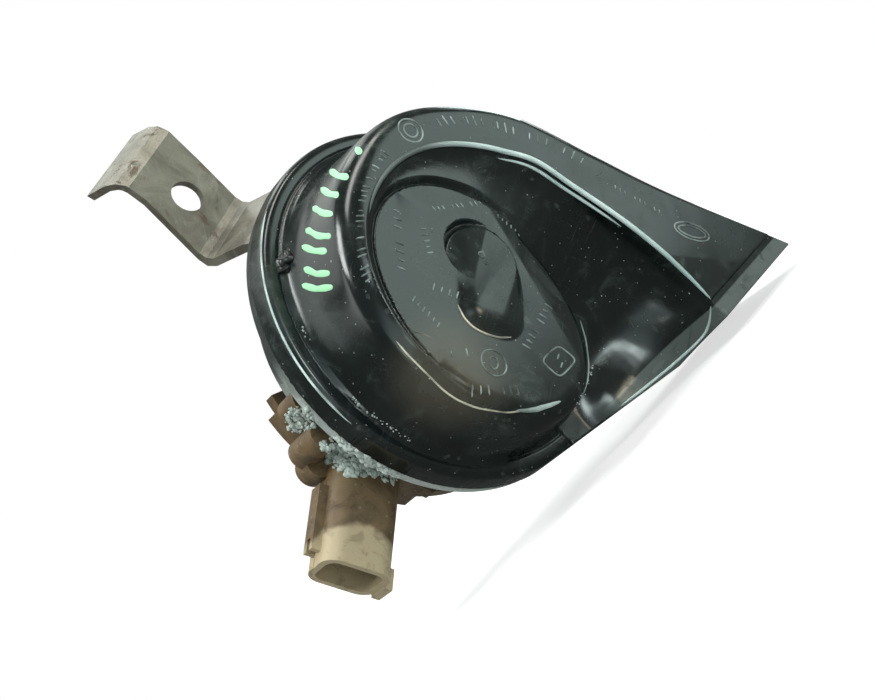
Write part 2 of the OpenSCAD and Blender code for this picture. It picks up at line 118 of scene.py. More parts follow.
for centre, along, half_long, half_wide, soft, strength, colour in PANELS.values():
    middle = Vector(centre).normalized()
    long_side = (Vector(along) - middle * middle.dot(Vector(along))).normalized()
    level = strength
    for axis, half in ((long_side, half_long), (middle.cross(long_side), half_wide)):
        off = put(sky, "VectorMath", {0: looking, 1: axis}, operation="DOT_PRODUCT").outputs["Value"]
        outside, within = (math.sin(math.radians(angle)) for angle in (half + soft, half))
        edge = ramp(sky, math_of(sky, "ABSOLUTE", off), outside, within)
        level = math_of(sky, "MULTIPLY", level, edge)
    facing = put(sky, "VectorMath", {0: looking, 1: middle}, operation="DOT_PRODUCT").outputs["Value"]
    level = math_of(sky, "MULTIPLY", level, math_of(sky, "GREATER_THAN", facing, 0.0))
    glow = put(sky, "VectorMath", {0: colour, "Scale": level}, operation="SCALE").outputs[0]
    room_light = put(sky, "VectorMath", {0: room_light, 1: glow}, operation="ADD").outputs[0]
room = put(sky, "Background", {"Color": room_light, "Strength": 1.0})


def seen_share(tree, direct):
    """How much of the backdrop's own white a ray meets: direct for the camera and for glass,
    GLOSS_SHARE for gloss. Gives the light path's outputs too."""
    path = put(tree, "LightPath", {}).outputs
    straight = math_of(tree, "MAXIMUM", path["Is Camera Ray"], path["Is Transmission Ray"])
    gloss = math_of(tree, "MULTIPLY", path["Is Glossy Ray"], GLOSS_SHARE)
    return math_of(tree, "MAXIMUM", gloss, math_of(tree, "MULTIPLY", straight, direct)), path


# the camera sees a white background, and so does glass; gloss sees a part of it
room_seen, _ = seen_share(sky, 1.0)
room_white = put(sky, "Background", {"Color": (1, 1, 1, 1), "Strength": 1.0})
room_mix = put(sky, "MixShader", {0: room_seen, 1: room.outputs[0], 2: room_white.outputs[0]})
put(sky, "OutputWorld", {"Surface": room_mix.outputs[0]})

FLOOR_HALF, FLOOR_GAP, FLOOR_GLOW = 0.6, 0.0015, 0.66
FLOOR_TONE, FLOOR_TONE_IN_GLOSS = 0.42, 0.10
floor_mesh = bpy.data.meshes.new("floor")
sides = ((-1, -1), (1, -1), (1, 1), (-1, 1))
floor_corners = [(FLOOR_HALF * x, FLOOR_HALF * y, cad_low.z - FLOOR_GAP) for x, y in sides]
floor_mesh.from_pydata(floor_corners, [], [(0, 1, 2, 3)])
floor = bpy.data.objects.new("floor", floor_mesh)
scene.collection.objects.link(floor)
floor_paper = bpy.data.materials.new("floor_paper")
floor_paper.use_nodes = True
floor_tree = floor_paper.node_tree
floor_shader = floor_tree.nodes["Principled BSDF"]
floor_shader.inputs["Roughness"].default_value = 0.9
floor_shader.inputs["Specular IOR Level"].default_value = 0.1
floor_shader.inputs["Emission Color"].default_value = (1, 1, 1, 1)
floor_glow, floor_path = seen_share(floor_tree, FLOOR_GLOW)
floor_tree.links.new(floor_glow, floor_shader.inputs["Emission Strength"])
floor_tone = ramp(floor_tree, floor_path["Is Glossy Ray"], 0.0, 1.0, FLOOR_TONE, FLOOR_TONE_IN_GLOSS)
floor_tree.links.new(floor_tone, floor_shader.inputs["Base Color"])
floor_mesh.materials.append(floor_paper)

# Trumpet shell
# One black moulding: a round flange, an oval drum plate with the throat's blunt nose, and a hollow
# ridge that winds out of the plate and widens to the mouth. The form is drawn as heights over the
# flange, section by section round the horn's axis, then skinned with a fine mesh.
DRUM_R, DRUM_A, DRUM_TILT = 30.0, 23.1, -1.1
DRUM_X, DRUM_Y, DRUM_Z = -9.2, -7.1, 25.0
FLANGE_R, FLANGE_H, FOOT_R = 45.0, 6.4, 40.4
MOUTH_Y, MOUTH_Z, WALL, PLATE = 48.0, 32.0, 2.2, 3.2
RIDGE_START = 225


def to_row(p):
    """The horn's own millimetres (axis at the origin, flange at z 0) in the row frame, in metres."""
    p = np.asarray(p, float)
    return np.stack([p[..., 0] + 2, -p[..., 2] - 35, p[..., 1] - 61], -1) / 1000


def ease(x, a, b):
    """0 below a and 1 above b, with a smooth rise between them."""
    u = np.clip((x - a) / (b - a), 0, 1)
    return u * u * (3 - 2 * u)


def cosd(a):
    return np.cos(np.radians(a))


def sind(a):
    return np.sin(np.radians(a))


def reach(f, cx, cy, r):
    """How far a circle's edge is from the axis in direction f."""
    d = cosd(f) * cx + sind(f) * cy
    return d + np.sqrt(d * d - cx * cx - cy * cy + r * r)


def reach_drum(f):
    """How far the drum plate's oval edge is from the axis in direction f."""
    c, s = cosd(f - DRUM_TILT), sind(f - DRUM_TILT)
    x = DRUM_X * cosd(DRUM_TILT) + DRUM_Y * sind(DRUM_TILT)
    y = DRUM_Y * cosd(DRUM_TILT) - DRUM_X * sind(DRUM_TILT)
    p = c * c / DRUM_A**2 + s * s / DRUM_R**2
    q = x * c / DRUM_A**2 + y * s / DRUM_R**2
    return (q + np.sqrt(q * q - p * (x * x / DRUM_A**2 + y * y / DRUM_R**2 - 1))) / p


def outer_edge(f):
    """Radius of the ridge's outer edge: round the drum, then straight on to the mouth and wider."""
    flare = 36.8 - 3.1 * sind(180 * np.clip((28 - f) / 70, 0, 1))
    wide = 4.0 * ease(-f, -62, -8) * (1 - 0.8 * ease(-f, 0, 30))
    straight = np.minimum(112, flare / np.maximum(0.2, cosd(f - 35)))
    return wide + np.where(f > 28, 36.8 + 2.6 * ease(f, 165, 212), straight)


def inner_edge(f):
    """Radius of the ridge's inner rim."""
    g = np.minimum(f, 60)
    across = 29.2 + 8.8 * ease(-g, -8, 50) + 4 * ease(-g, 48, 58)
    line = np.minimum(96, across / np.maximum(0.3, cosd(g)))
    w = ease(-f, -34, 10)
    c = reach(f, -2.9, -4.6, 31) + 0.6 * cosd(2 * (f - 120)) * ease(f, 20, 60)
    return c * (1 - w) + line * w


def ridge_height(t):
    """Height of the ridge's top at travel t: degrees back round the axis from RIDGE_START."""
    climb = (MOUTH_Z - DRUM_Z - 0.7) * np.clip((t - 20) / 242, 0, 1)
    return DRUM_Z - 1.2 + 1.9 * ease(t, 8, 34) + climb


def foot_height(t):
    """Height of the trough between plate and ridge."""
    drop = (DRUM_Z - FLANGE_H - 1.6) * ease(t, 215, 312)
    return DRUM_Z - 0.5 + 1.9 * ease(t, 50, 130) - 2.4 * ease(t, 165, 235) - drop


def wall_r(t, u):
    """Radius of the ridge's inner wall, from its foot (u 0) to its rim (u 1)."""
    f = RIDGE_START - t
    a = np.minimum(reach_drum(f) + 0.2, outer_edge(f) - 5) + 1.1 * ease(t, 50, 100)
    return a + (np.maximum(inner_edge(f), a + 0.5) - a) * u


def wall_z(t, u):
    """Height of the ridge's inner wall."""
    z0, p = foot_height(t), 2 + 0.5 * ease(t, 200, 250) * (1 - ease(t, 280, 300))
    rise = np.maximum(ridge_height(t) - 0.6, z0 + 0.1) - z0
    return z0 + rise * (1 - np.maximum(0, 1 - u**p) ** (1 / p))


def edge_r(t):
    """Radius of the ridge's outer edge, kept clear of its inner rim."""
    return np.maximum(outer_edge(RIDGE_START - t), wall_r(t, 1) + 1.6)


def low_r(t):
    """Radius of the ridge's outer wall at its foot on the flange."""
    f, ro = RIDGE_START - t, edge_r(t)
    return ro + 1.5 + np.maximum(0, FOOT_R - 1.5 + ease(f, 165, 212) - ro - 1.5) * ease(f, 28, 60)


def rounded(line, reach_mm, steps=5):
    """Each inner corner of the lines (n, m, 2) turned into a short arc of points."""
    out = [line[:, :1]]
    for i in range(1, line.shape[1] - 1):
        p, a, b = line[:, i], line[:, i - 1], line[:, i + 1]
        la, lb = (np.linalg.norm(x - p, axis=1, keepdims=True) + 1e-9 for x in (a, b))
        a = p + (a - p) / la * np.minimum(reach_mm, 0.48 * la)
        b = p + (b - p) / lb * np.minimum(reach_mm, 0.48 * lb)
        for s in np.linspace(0, 1, steps):
            out.append(((1 - s) ** 2 * a + 2 * s * (1 - s) * p + s * s * b)[:, None])
    return np.concatenate(out + [line[:, -1:]], 1)


def heights_by_radius(lines, radii, below=-9.0):
    """For each line of (r, z) points, its height over every radius."""
    out = np.full((len(lines), len(radii)), below)
    for i, line in enumerate(lines):
        r = np.maximum.accumulate(line[:, 0] + np.arange(len(line)) * 1e-6)
        out[i] = np.interp(radii, r, line[:, 1], left=below, right=below)
    return out


# the ridge's outside and the channel under it, four sections to a degree of travel
TRAVEL_START, TRAVEL_END, SECTIONS, RADIUS_STEP = -16, 318, 1337, 0.1
travel = np.linspace(TRAVEL_START, TRAVEL_END, SECTIONS)
radii = np.arange(0, 118, RADIUS_STEP)
z, ro, ri, rl = ridge_height(travel), edge_r(travel), wall_r(travel, 1), low_r(travel)
bearings, zf = RIDGE_START - travel, foot_height(travel)
a = np.minimum(reach_drum(bearings) + 0.2, outer_edge(bearings) - 5)
section = [(a - 6, 1 + 0 * a), (a - 5.9, np.minimum(DRUM_Z - 1.4, zf - 0.1))]
section += [(a - 0.1, np.minimum(DRUM_Z - 0.7, zf - 0.05))]
section += [(wall_r(travel, u), wall_z(travel, u)) for u in sind(np.linspace(0, 90, 22))]
shoulder = 3.0 + 2.6 * ease(bearings, 75, 120) * (1 - ease(bearings, 215, 240))
section += [(ri + 0.35, z - 0.18), (np.minimum(ri + 1, ro - 1.5), z)]
for turn in (0, 15, 30, 45, 60, 75, 90):
    bend_r = ro + 0.1 * shoulder - shoulder * (1 - sind(turn)) - 0.3
    section += [(np.maximum(bend_r, ri + 1.1 + turn / 300), z - shoulder * (1 - cosd(turn)))]
section += [((ro + rl) / 2, 13 + 0 * z)]
section += [(rl + out, up + 0 * z) for out, up in ((0, FLANGE_H + 2), (0.5, FLANGE_H + 0.7))]
section += [(rl + out, up + 0 * z) for out, up in ((1.4, FLANGE_H - 0.07), (1.5, 1))]
CORNER = 0.8
section = np.stack([np.stack(p, -1) for p in section], 1)
ridge_by_radius = heights_by_radius(rounded(section, CORNER), radii)

z, ro, ri = z - WALL, ro - WALL, ri + WALL - 0.9
low = 1 - 0.66 * ease(travel, 215, 262)
section = [(wall_r(travel, low) + WALL - 0.9, 1 + 0 * z)]
for k in range(5):
    u = low + (1 - low) * k / 5
    section += [(wall_r(travel, u) + WALL - 0.9 + 0.02, np.maximum(PLATE + 0.8, wall_z(travel, u) - WALL))]
section += [(ri + 0.2, z - 0.6), (np.minimum(ri + 1.2, ro - 1.4), z), (np.maximum(ro - 3, ri + 1.3), z - 0.1)]
section += [(ro - 0.2, z - 2.2), (ro + 0.5, 12 + 0 * z), (ro + 0.8, 1 + 0 * z)]
section = np.stack([np.stack(p, -1) for p in section], 1)
channel_by_radius = heights_by_radius(rounded(section, CORNER), radii)
channel_by_radius[travel < 150] = -9

# the maps over the flange, every STEP millimetres: top_map and hollow_map hold the heights of the
# moulding's top and of the channel inside it
STEP = 0.15
map_x, map_y = np.arange(-47, 84, STEP), np.arange(-53, 47, STEP)
grid_x, grid_y = np.meshgrid(map_x, map_y, indexing="ij")
from_axis, bearing = np.hypot(grid_x, grid_y), np.degrees(np.arctan2(grid_y, grid_x))
travel_map = RIDGE_START - np.where(bearing < -93, bearing + 360, bearing)


def look_up(table, t, r):
    """Heights of a table made by heights_by_radius at travel t and radius r."""
    i = np.clip((t - TRAVEL_START) / (TRAVEL_END - TRAVEL_START) * (SECTIONS - 1), 0, SECTIONS - 1.001)
    j = np.clip(r / RADIUS_STEP, 0, len(radii) - 1.001)
    i0, j0 = i.astype(int), j.astype(int)
    u, v = i - i0, j - j0
    out = (table[i0, j0] * (1 - v) + table[i0, j0 + 1] * v) * (1 - u)
    out += (table[i0 + 1, j0] * (1 - v) + table[i0 + 1, j0 + 1] * v) * u
    return np.where((t < TRAVEL_START) | (t > TRAVEL_END), -9.0, out)


def soft_max(a, b, k):
    """The larger of a and b, with a fillet of about k where they meet."""
    h = np.clip(0.5 + 0.5 * (a - b) / k, 0, 1)
    return b + (a - b) * h + k * h * (1 - h)


def profile(r, points, reach_mm):
    """Heights over radius r of a turned shape, drawn as (radius, height) points."""
    line = rounded(np.array([points], float), reach_mm)[0]
    return np.interp(r, line[:, 0], line[:, 1], left=line[0, 1], right=-9)


# the drum plate, turned and then squeezed to an oval
dx, dy = grid_x - DRUM_X, grid_y - DRUM_Y
ox = (dx * cosd(DRUM_TILT) + dy * sind(DRUM_TILT)) * DRUM_R / DRUM_A
oy = dy * cosd(DRUM_TILT) - dx * sind(DRUM_TILT)
oval_r = np.hypot(ox, oy)
plate_edge = [(0, DRUM_Z), (26.8, DRUM_Z), (28.1, 24.8), (29.1, 24.2), (29.9, 23.2)]
drum = profile(oval_r, plate_edge + [(30.4, 21.8), (30.8, 18), (31.3, 7), (31.4, 1)], 0.7)

# the plate's edge is rounded only on its lower side, below a line that rises from SHARP_X, SHARP_Y
SHARP_X, SHARP_Y, SHARP_TURN = -35.5, -14.6, 13
cx, cy = grid_x - SHARP_X, grid_y - SHARP_Y
along = cx * cosd(SHARP_TURN) + cy * sind(SHARP_TURN)
across = cy * cosd(SHARP_TURN) - cx * sind(SHARP_TURN)
sharp = np.clip(np.minimum(along, across) / 3, 0, 1)
drum = np.maximum(drum, np.where(oval_r < DRUM_R, DRUM_Z * sharp + drum * (1 - sharp), -9))

# past a faint crease, the plate's far side slopes down a little
CREASE_X, CREASE_Y, CREASE_ACROSS, CREASE_SLOPE = 5.0, -10.4, (0.957, -0.288), 8.0
beyond = (grid_x - CREASE_X) * CREASE_ACROSS[0] + (grid_y - CREASE_Y) * CREASE_ACROSS[1]
drum -= math.tan(math.radians(CREASE_SLOPE)) * (np.hypot(np.maximum(beyond, 0), 0.5) - 0.5) * (oval_r < 31)

# the drum's foot and the flange round it, with a fine groove
GROOVE_R, GROOVE_DEEP, GROOVE_WIDE = 40.9, 0.45, 0.28
foot = profile(from_axis, [(0, 8.1), (38.7, 8.1), (39.2, 7), (40.1, 6.4), (40.2, 1)], 0.4)
flange_line = [(0, 6.3), (42.9, 6.35), (43.8, 6.2), (44.5, 5.6), (44.9, 4.9), (45, 3.9), (45.05, -8)]
groove = GROOVE_DEEP * np.exp(-(((from_axis - GROOVE_R) / GROOVE_WIDE) ** 2))
flange = profile(from_axis, flange_line, 0.6) - groove

# the foot that carries the ridge out to the mouth, UNDER_MOUTH millimetres outside its edge
UNDER_MOUTH = 3.2
rim_points = [(0, 0)]
for f in np.arange(30, -34.5, -2):
    rim_r = outer_edge(f) + UNDER_MOUTH
    rim_points.append((rim_r * cosd(f), rim_r * sind(f)))
rim_points += [(-6.5, -58), (-6.5, -40)]


def polygon_distance(x, y, points):
    """Signed distance to a polygon's edge, negative inside it."""
    best, inside = np.full(x.shape, 1e9), np.zeros(x.shape, bool)
    for (ax, ay), (bx, by) in zip(points, points[1:] + points[:1]):
        ex, ey = bx - ax, by - ay
        k = np.clip(((x - ax) * ex + (y - ay) * ey) / (ex * ex + ey * ey), 0, 1)
        best = np.minimum(best, np.hypot(x - ax - k * ex, y - ay - k * ey))
        with np.errstate(divide="ignore", invalid="ignore"):
            crosses = ((ay > y) != (by > y)) & (x < (bx - ax) * (y - ay) / (by - ay) + ax)
        inside ^= crosses
    return np.where(inside, -best, best)


outlet = polygon_distance(grid_x, grid_y, [tuple(map(float, p)) for p in rim_points])
flange = np.maximum(flange, np.where(outlet < 0, FLANGE_H - 0.28, -9))

top_map = soft_max(drum, foot, 0.8)
top_map = soft_max(top_map, flange, 0.5)
top_map = soft_max(top_map, look_up(ridge_by_radius, travel_map, from_axis), 0.35)

# the round pocket over the throat sinks towards the top, and the nose swells out of it: a tilted disc
# that runs out into a broad blunt end
SINK = (cosd(115), sind(115))
POCKET_X, POCKET_Y, POCKET_R, POCKET_SLOPE = -1.6, 1.5, 8.2, 15
off_x, off_y = grid_x - POCKET_X, grid_y - POCKET_Y
pocket = DRUM_Z - 0.15 - math.tan(math.radians(POCKET_SLOPE)) * (off_x * SINK[0] + off_y * SINK[1])
inside = np.clip((POCKET_R - np.hypot(off_x, off_y)) / 0.3, 0, 1)
top_map = np.where(inside > 0, np.minimum(top_map, top_map * (1 - inside) + pocket * inside), top_map)

# the nose is the tight skin over a tilted disc and two balls, found direction by direction
DISC_TILT, DISC_R, DISC_LIFT = 9, 8.3, 2.05
DISC_CENTRE = np.array([-1.8, -0.4, DRUM_Z - 2.1])
BALL_CENTRES, BALL_R, BALL_Z = ((-12.6, -8.2), (-9.9, -11.6)), 10.5, DRUM_Z - 9.2
near = (np.abs(grid_x + 5) < 19) & (np.abs(grid_y + 5) < 20)
nose = np.full(near.sum(), 99.0)
near_x, near_y = grid_x[near], grid_y[near]
up = np.array([SINK[0] * sind(DISC_TILT), SINK[1] * sind(DISC_TILT), cosd(DISC_TILT)])
for polar in np.linspace(0.5, 88, 60):
    for turn in np.linspace(0, 360, 100, endpoint=False):
        d = np.array([sind(polar) * cosd(turn), sind(polar) * sind(turn), cosd(polar)])
        disc_edge = DISC_R * math.sqrt(max(0, 1 - (d @ up) ** 2))
        reach_up = d @ (DISC_CENTRE + up * DISC_LIFT) + disc_edge
        for ball in BALL_CENTRES:
            reach_up = max(reach_up, d @ np.array([*ball, BALL_Z]) + BALL_R)
        nose = np.minimum(nose, (reach_up - d[0] * near_x - d[1] * near_y) / d[2])
nose_map = np.full(top_map.shape, -9.0)
nose_map[near] = np.maximum(nose, -9)
top_map = soft_max(top_map, nose_map, 0.9)

# the mouth's lip is a little lower than the ridge, and the trough rises towards it
LIP_Y, LIP_X, LIP_Z, TROUGH_RISE = -42.6, 20, MOUTH_Z - 0.9, 3.0
top_map = np.where((grid_y < LIP_Y) & (grid_x > LIP_X), np.minimum(top_map, LIP_Z), top_map)
flare = ease(-grid_y, 31, 45) * np.clip((ridge_height(travel_map) - 0.6 - top_map) / 6, 0, 1)
flare *= ease(grid_x, 4, 14) * ease(oval_r, 29.5, 33.5) * ease(from_axis, 33, 44)
top_map = top_map + TROUGH_RISE * flare
hollow_map = look_up(channel_by_radius, travel_map, from_axis)
for axis in (0, 1):
    top_map = 0.5 * top_map + 0.25 * (np.roll(top_map, 1, axis) + np.roll(top_map, -1, axis))
top_steepness = np.sqrt(1 + sum(g * g for g in np.gradient(top_map, STEP)))
hollow_steepness = np.sqrt(1 + sum(g * g for g in np.gradient(hollow_map, STEP)))
MAPS = (top_map, top_steepness, hollow_map, hollow_steepness, outlet)


def on_map(field, x, y):
    """A map's values at points, blended between its corners."""
    i = np.clip((x - map_x[0]) / STEP, 0, len(map_x) - 1.001)
    j = np.clip((y - map_y[0]) / STEP, 0, len(map_y) - 1.001)
    i0, j0 = i.astype(int), j.astype(int)
    u, v = i - i0, j - j0
    low_x = field[i0, j0] * (1 - v) + field[i0, j0 + 1] * v
    high_x = field[i0 + 1, j0] * (1 - v) + field[i0 + 1, j0 + 1] * v
    return low_x * (1 - u) + high_x * u


# two flat cuts end the moulding at the mouth, one turned and one leaning; small chips mark its lip
CUT_TURN, CUT_AT, MOUTH_LEAN = 8.3, -44.6, 6.3
CHIPS = ((50.5, 1.5), (46.2, 0.9), (37.6, 1.6), (41.8, 0.9), (57.0, 0.7))


def shell_field(x, y, z, here=None):
    """Below zero inside the moulding's plastic, above zero outside it, near enough in millimetres."""
    if here is None:
        here = [on_map(field, x, y) for field in MAPS]
    top, top_slope, hollow, hollow_slope, edge = here
    edge = np.minimum(np.hypot(x, y) - FLANGE_R, edge)
    out = soft_max((z - top) / top_slope, edge + 0 * z, 0.5)
    lower = CUT_AT - (sind(CUT_TURN) * x + cosd(CUT_TURN) * y)
    mouth = -(cosd(MOUTH_LEAN) * (y + MOUTH_Y) - sind(MOUTH_LEAN) * (z - MOUTH_Z))
    out = soft_max(out, np.maximum(lower, mouth), 0.4)
    for chip_x, size in CHIPS:
        away = np.sqrt((x - chip_x) ** 2 + (y + MOUTH_Y + 0.7) ** 2 + (z - MOUTH_Z - 0.3) ** 2)
        out = soft_max(out, size - away, 0.25)
    out = np.maximum(out, -z)
    out = np.maximum(out, np.minimum((hollow - z) / hollow_slope, z - PLATE + 1.4))
    return np.maximum(out, np.minimum(PLATE - z, -2.4 - edge))


def skin(field, low, high, cell):
    """A quad mesh over the zero surface of field: one vertex in each cell that it crosses."""
    axes = [np.arange(a, b + cell, cell) for a, b in zip(low, high)]
    gx, gy = np.meshgrid(axes[0], axes[1], indexing="ij")
    maps = [on_map(m, gx, gy)[..., None] for m in MAPS]
    values = field(gx[..., None], gy[..., None], axes[2][None, None, :], maps)
    sign = values < 0
    offsets = [(i, j, k) for i in (0, 1) for j in (0, 1) for k in (0, 1)]
    corners = [tuple(slice(o, n - 1 + o) for o, n in zip(offset, sign.shape)) for offset in offsets]
    count = sum(sign[c].astype(np.int8) for c in corners)
    cells = np.argwhere((count > 0) & (count < 8))
    number = np.full(count.shape, -1, np.int64)
    number[tuple(cells.T)] = np.arange(len(cells))
    total, hits = np.zeros((len(cells), 3)), np.zeros(len(cells))
    for a in range(8):
        for b in range(a + 1, 8):
            step = np.subtract(offsets[b], offsets[a])
            if np.abs(step).sum() != 1 or step.sum() < 0:
                continue
            va, vb = values[tuple((cells + offsets[a]).T)], values[tuple((cells + offsets[b]).T)]
            cross = (va < 0) != (vb < 0)
            k = np.where(cross, va / np.where(cross, va - vb, 1), 0)
            total += np.where(cross[:, None], np.array(offsets[a]) + k[:, None] * step, 0)
            hits += cross
    places = (cells + total / hits[:, None]) * cell + np.array([a[0] for a in axes])
    quads = []
    for axis in range(3):
        o1, o2 = [np.eye(3, dtype=int)[i] for i in ((1, 2), (2, 0), (0, 1))[axis]]
        s0 = sign[tuple(np.s_[:-1] if i == axis else np.s_[:] for i in range(3))]
        s1 = sign[tuple(np.s_[1:] if i == axis else np.s_[:] for i in range(3))]
        at = np.argwhere(s0 != s1)
        beside = at[:, [(axis + 1) % 3, (axis + 2) % 3]]
        at = at[(beside > 0).all(1) & (at < np.array(count.shape)).all(1)]
        q = np.stack([number[tuple((at - d).T)] for d in (0 * o1, o1, o1 + o2, o2)], 1)
        flip = s0[tuple(at.T)]
        q[flip] = q[flip][:, ::-1]
        quads.append(q)
    return places, np.concatenate(quads)[:, ::-1]


def settle(p, rounds=3):
    """Moves points onto the zero surface and gives the surface's own direction at each."""
    e = 0.06
    for _ in range(rounds + 1):
        v = shell_field(*p.T)
        rise = [shell_field(*(p + e * d).T) - shell_field(*(p - e * d).T) for d in np.eye(3)]
        g = np.stack(rise, 1) / (2 * e)
        size = np.maximum((g * g).sum(1), 0.25)
        p = p - np.clip(v / size, -0.25, 0.25)[:, None] * g
    return p, g / np.maximum(np.linalg.norm(g, axis=1, keepdims=True), 1e-6)


SKIN_CELL, SKIN_TRIANGLES = 0.38, 192000
places, quads = skin(shell_field, (-46, -52.5, -0.6), (82.5, 46, 33), SKIN_CELL)
places, _ = settle(places, 2)
shell_mesh = bpy.data.meshes.new("trumpet_skin")
shell_mesh.from_pydata(to_row(places), [], quads.tolist())
shell_skin = bpy.data.objects.new("trumpet_skin", shell_mesh)
scene.collection.objects.link(shell_skin)
thin = shell_skin.modifiers.new("thin", "DECIMATE")
thin.ratio = min(1, SKIN_TRIANGLES / (2 * len(quads)))
thinned = shell_skin.evaluated_get(bpy.context.evaluated_depsgraph_get())
shell_mesh = bpy.data.meshes.new_from_object(thinned)
shell_skin.modifiers.clear()
shell_skin.data = shell_mesh
flat = np.empty(len(shell_mesh.vertices) * 3)
shell_mesh.vertices.foreach_get("co", flat)
flat = flat.reshape(-1, 3) * 1000
local = np.stack([flat[:, 0] - 2, flat[:, 2] + 61, -flat[:, 1] - 35], 1)
local, facing = settle(local, 1)
shell_mesh.vertices.foreach_set("co", to_row(local).astype(np.float32).ravel())
shell_mesh.polygons.foreach_set("use_smooth", np.ones(len(shell_mesh.polygons), bool))
facing = np.stack([facing[:, 0], -facing[:, 2], facing[:, 1]], 1)
shell_mesh.normals_split_custom_set_from_vertices(facing.tolist())
shell_mesh.update()
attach(shell_skin, "horn")
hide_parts("trumpet_shell")


def effect(name, inputs, outputs):
    """An empty node group for a surface effect that several finishes share."""
    tree = bpy.data.node_groups.new(name, "ShaderNodeTree")
    for label, value in inputs.items():
        kind = "NodeSocketVector" if label == "Vector" else "NodeSocketFloat"
        socket = tree.interface.new_socket(name=label, in_out="INPUT", socket_type=kind)
        if label != "Vector":
            socket.default_value = value
    for label in outputs:
        tree.interface.new_socket(name=label, in_out="OUTPUT", socket_type="NodeSocketFloat")
    return tree, tree.nodes.new("NodeGroupInput").outputs, tree.nodes.new("NodeGroupOutput").inputs


# dust specks: small round grains, each cell of a scattered grid holding one or none
speck_inputs = {"Vector": 0, "Scale": 900.0, "Size": 0.12, "Share": 0.3}
dust_specks, given, result = effect("dust_specks", speck_inputs, ["Mask"])
cells = put(dust_specks, "TexVoronoi", {"Vector": given["Vector"], "Scale": given["Scale"]})
grain = math_of(dust_specks, "LESS_THAN", cells.outputs["Distance"], given["Size"])
chosen = put(dust_specks, "SeparateColor", {0: cells.outputs["Color"]})
kept = math_of(dust_specks, "LESS_THAN", chosen.outputs[0], given["Share"])
dust_specks.links.new(math_of(dust_specks, "MULTIPLY", grain, kept), result["Mask"])

# a patchy film, such as dried dirt, oil or handling marks
film_inputs = {"Vector": 0, "Scale": 40.0, "Low": 0.45, "High": 0.65, "Bend": 0.4}
patchy_film, given, result = effect("patchy_film", film_inputs, ["Mask"])
cloud_inputs = {"Vector": given["Vector"], "Scale": given["Scale"], "Distortion": given["Bend"]}
cloud = put(patchy_film, "TexNoise", {**cloud_inputs, "Detail": 6.0, "Roughness": 0.62})
patchy_film.links.new(ramp(patchy_film, cloud.outputs[0], given["Low"], given["High"]), result["Mask"])

# hairline scratches in one direction: long thin streaks broken up by a second noise
line_inputs = {"Vector": 0, "Scale": 60.0, "Width": 0.012, "Turn": 0.6, "Stretch": 14.0}
hairlines, given, result = effect("hairlines", line_inputs, ["Mask"])
turn_inputs = {"Vector": given["Vector"], "Angle": given["Turn"], "Axis": (0.3, 1, 0.2)}
turned = put(hairlines, "VectorRotate", turn_inputs)
longer = put(hairlines, "CombineXYZ", {0: 1.0, 1: 1.0, 2: given["Stretch"]})
streak = put(hairlines, "VectorMath", {0: turned.outputs[0], 1: longer.outputs[0]}, operation="MULTIPLY")
lines = put(hairlines, "TexNoise", {"Vector": streak.outputs[0], "Scale": given["Scale"], "Detail": 2.0})
off_centre = math_of(hairlines, "ABSOLUTE", math_of(hairlines, "SUBTRACT", lines.outputs[0], 0.5))
thin_line = math_of(hairlines, "LESS_THAN", off_centre, given["Width"])
breaks = put(hairlines, "TexNoise", {"Vector": given["Vector"], "Scale": 130.0, "Detail": 1.0})
some = math_of(hairlines, "GREATER_THAN", breaks.outputs[0], 0.56)
hairlines.links.new(math_of(hairlines, "MULTIPLY", thin_line, some), result["Mask"])


def use(tree, group, place, **values):
    """The mask of a shared effect, placed in a material with its own values."""
    node = tree.nodes.new("ShaderNodeGroup")
    node.node_tree = group
    tree.links.new(place, node.inputs["Vector"])
    for key, value in values.items():
        node.inputs[key].default_value = value
    return node.outputs["Mask"]


def blend_of(tree, mask, a, b):
    """Colour a where mask is 0 and colour b where it is 1."""
    return put(tree, "Mix", {0: mask, 6: a, 7: b}, data_type="RGBA").outputs[2]


def new_finish(name):
    """A material with its node tree, its Principled shader and the object's own coordinates."""
    material = bpy.data.materials.new(name)
    material.use_nodes = True
    tree = material.node_tree
    return material, tree, tree.nodes["Principled BSDF"], put(tree, "TexCoord", {}).outputs["Object"]


def over(tree, colour, mask, share, tone):
    """A tone laid over a colour where the mask shows, never more than that share of it."""
    return blend_of(tree, math_of(tree, "MULTIPLY", mask, share), colour, tone)


def noise(tree, place, scale, detail, rough=0.5):
    """An even cloudy noise."""
    inputs = {"Vector": place, "Scale": scale, "Detail": detail, "Roughness": rough}
    return put(tree, "TexNoise", inputs).outputs[0]


def distance(tree, place, centre):
    """How far each point of the surface is from a centre, in metres."""
    return put(tree, "VectorMath", {0: place, 1: centre}, operation="DISTANCE").outputs["Value"]


def roughen(tree, shader, height, strength, depth):
    """Fine relief in the surface."""
    bump = put(tree, "Bump", {"Strength": strength, "Distance": depth, "Height": height})
    tree.links.new(bump.outputs[0], shader.inputs["Normal"])


def two_tone(name, group, tone, other, rough, metal=0.0, **values):
    """A finish of two tones, the other one where a shared effect shows."""
    material, tree, shader, place = new_finish(name)
    mask = use(tree, group, place, **values)
    tree.links.new(blend_of(tree, mask, tone, other), shader.inputs["Base Color"])
    shader.inputs["Metallic"].default_value = metal
    shader.inputs["Roughness"].default_value = rough
    return material


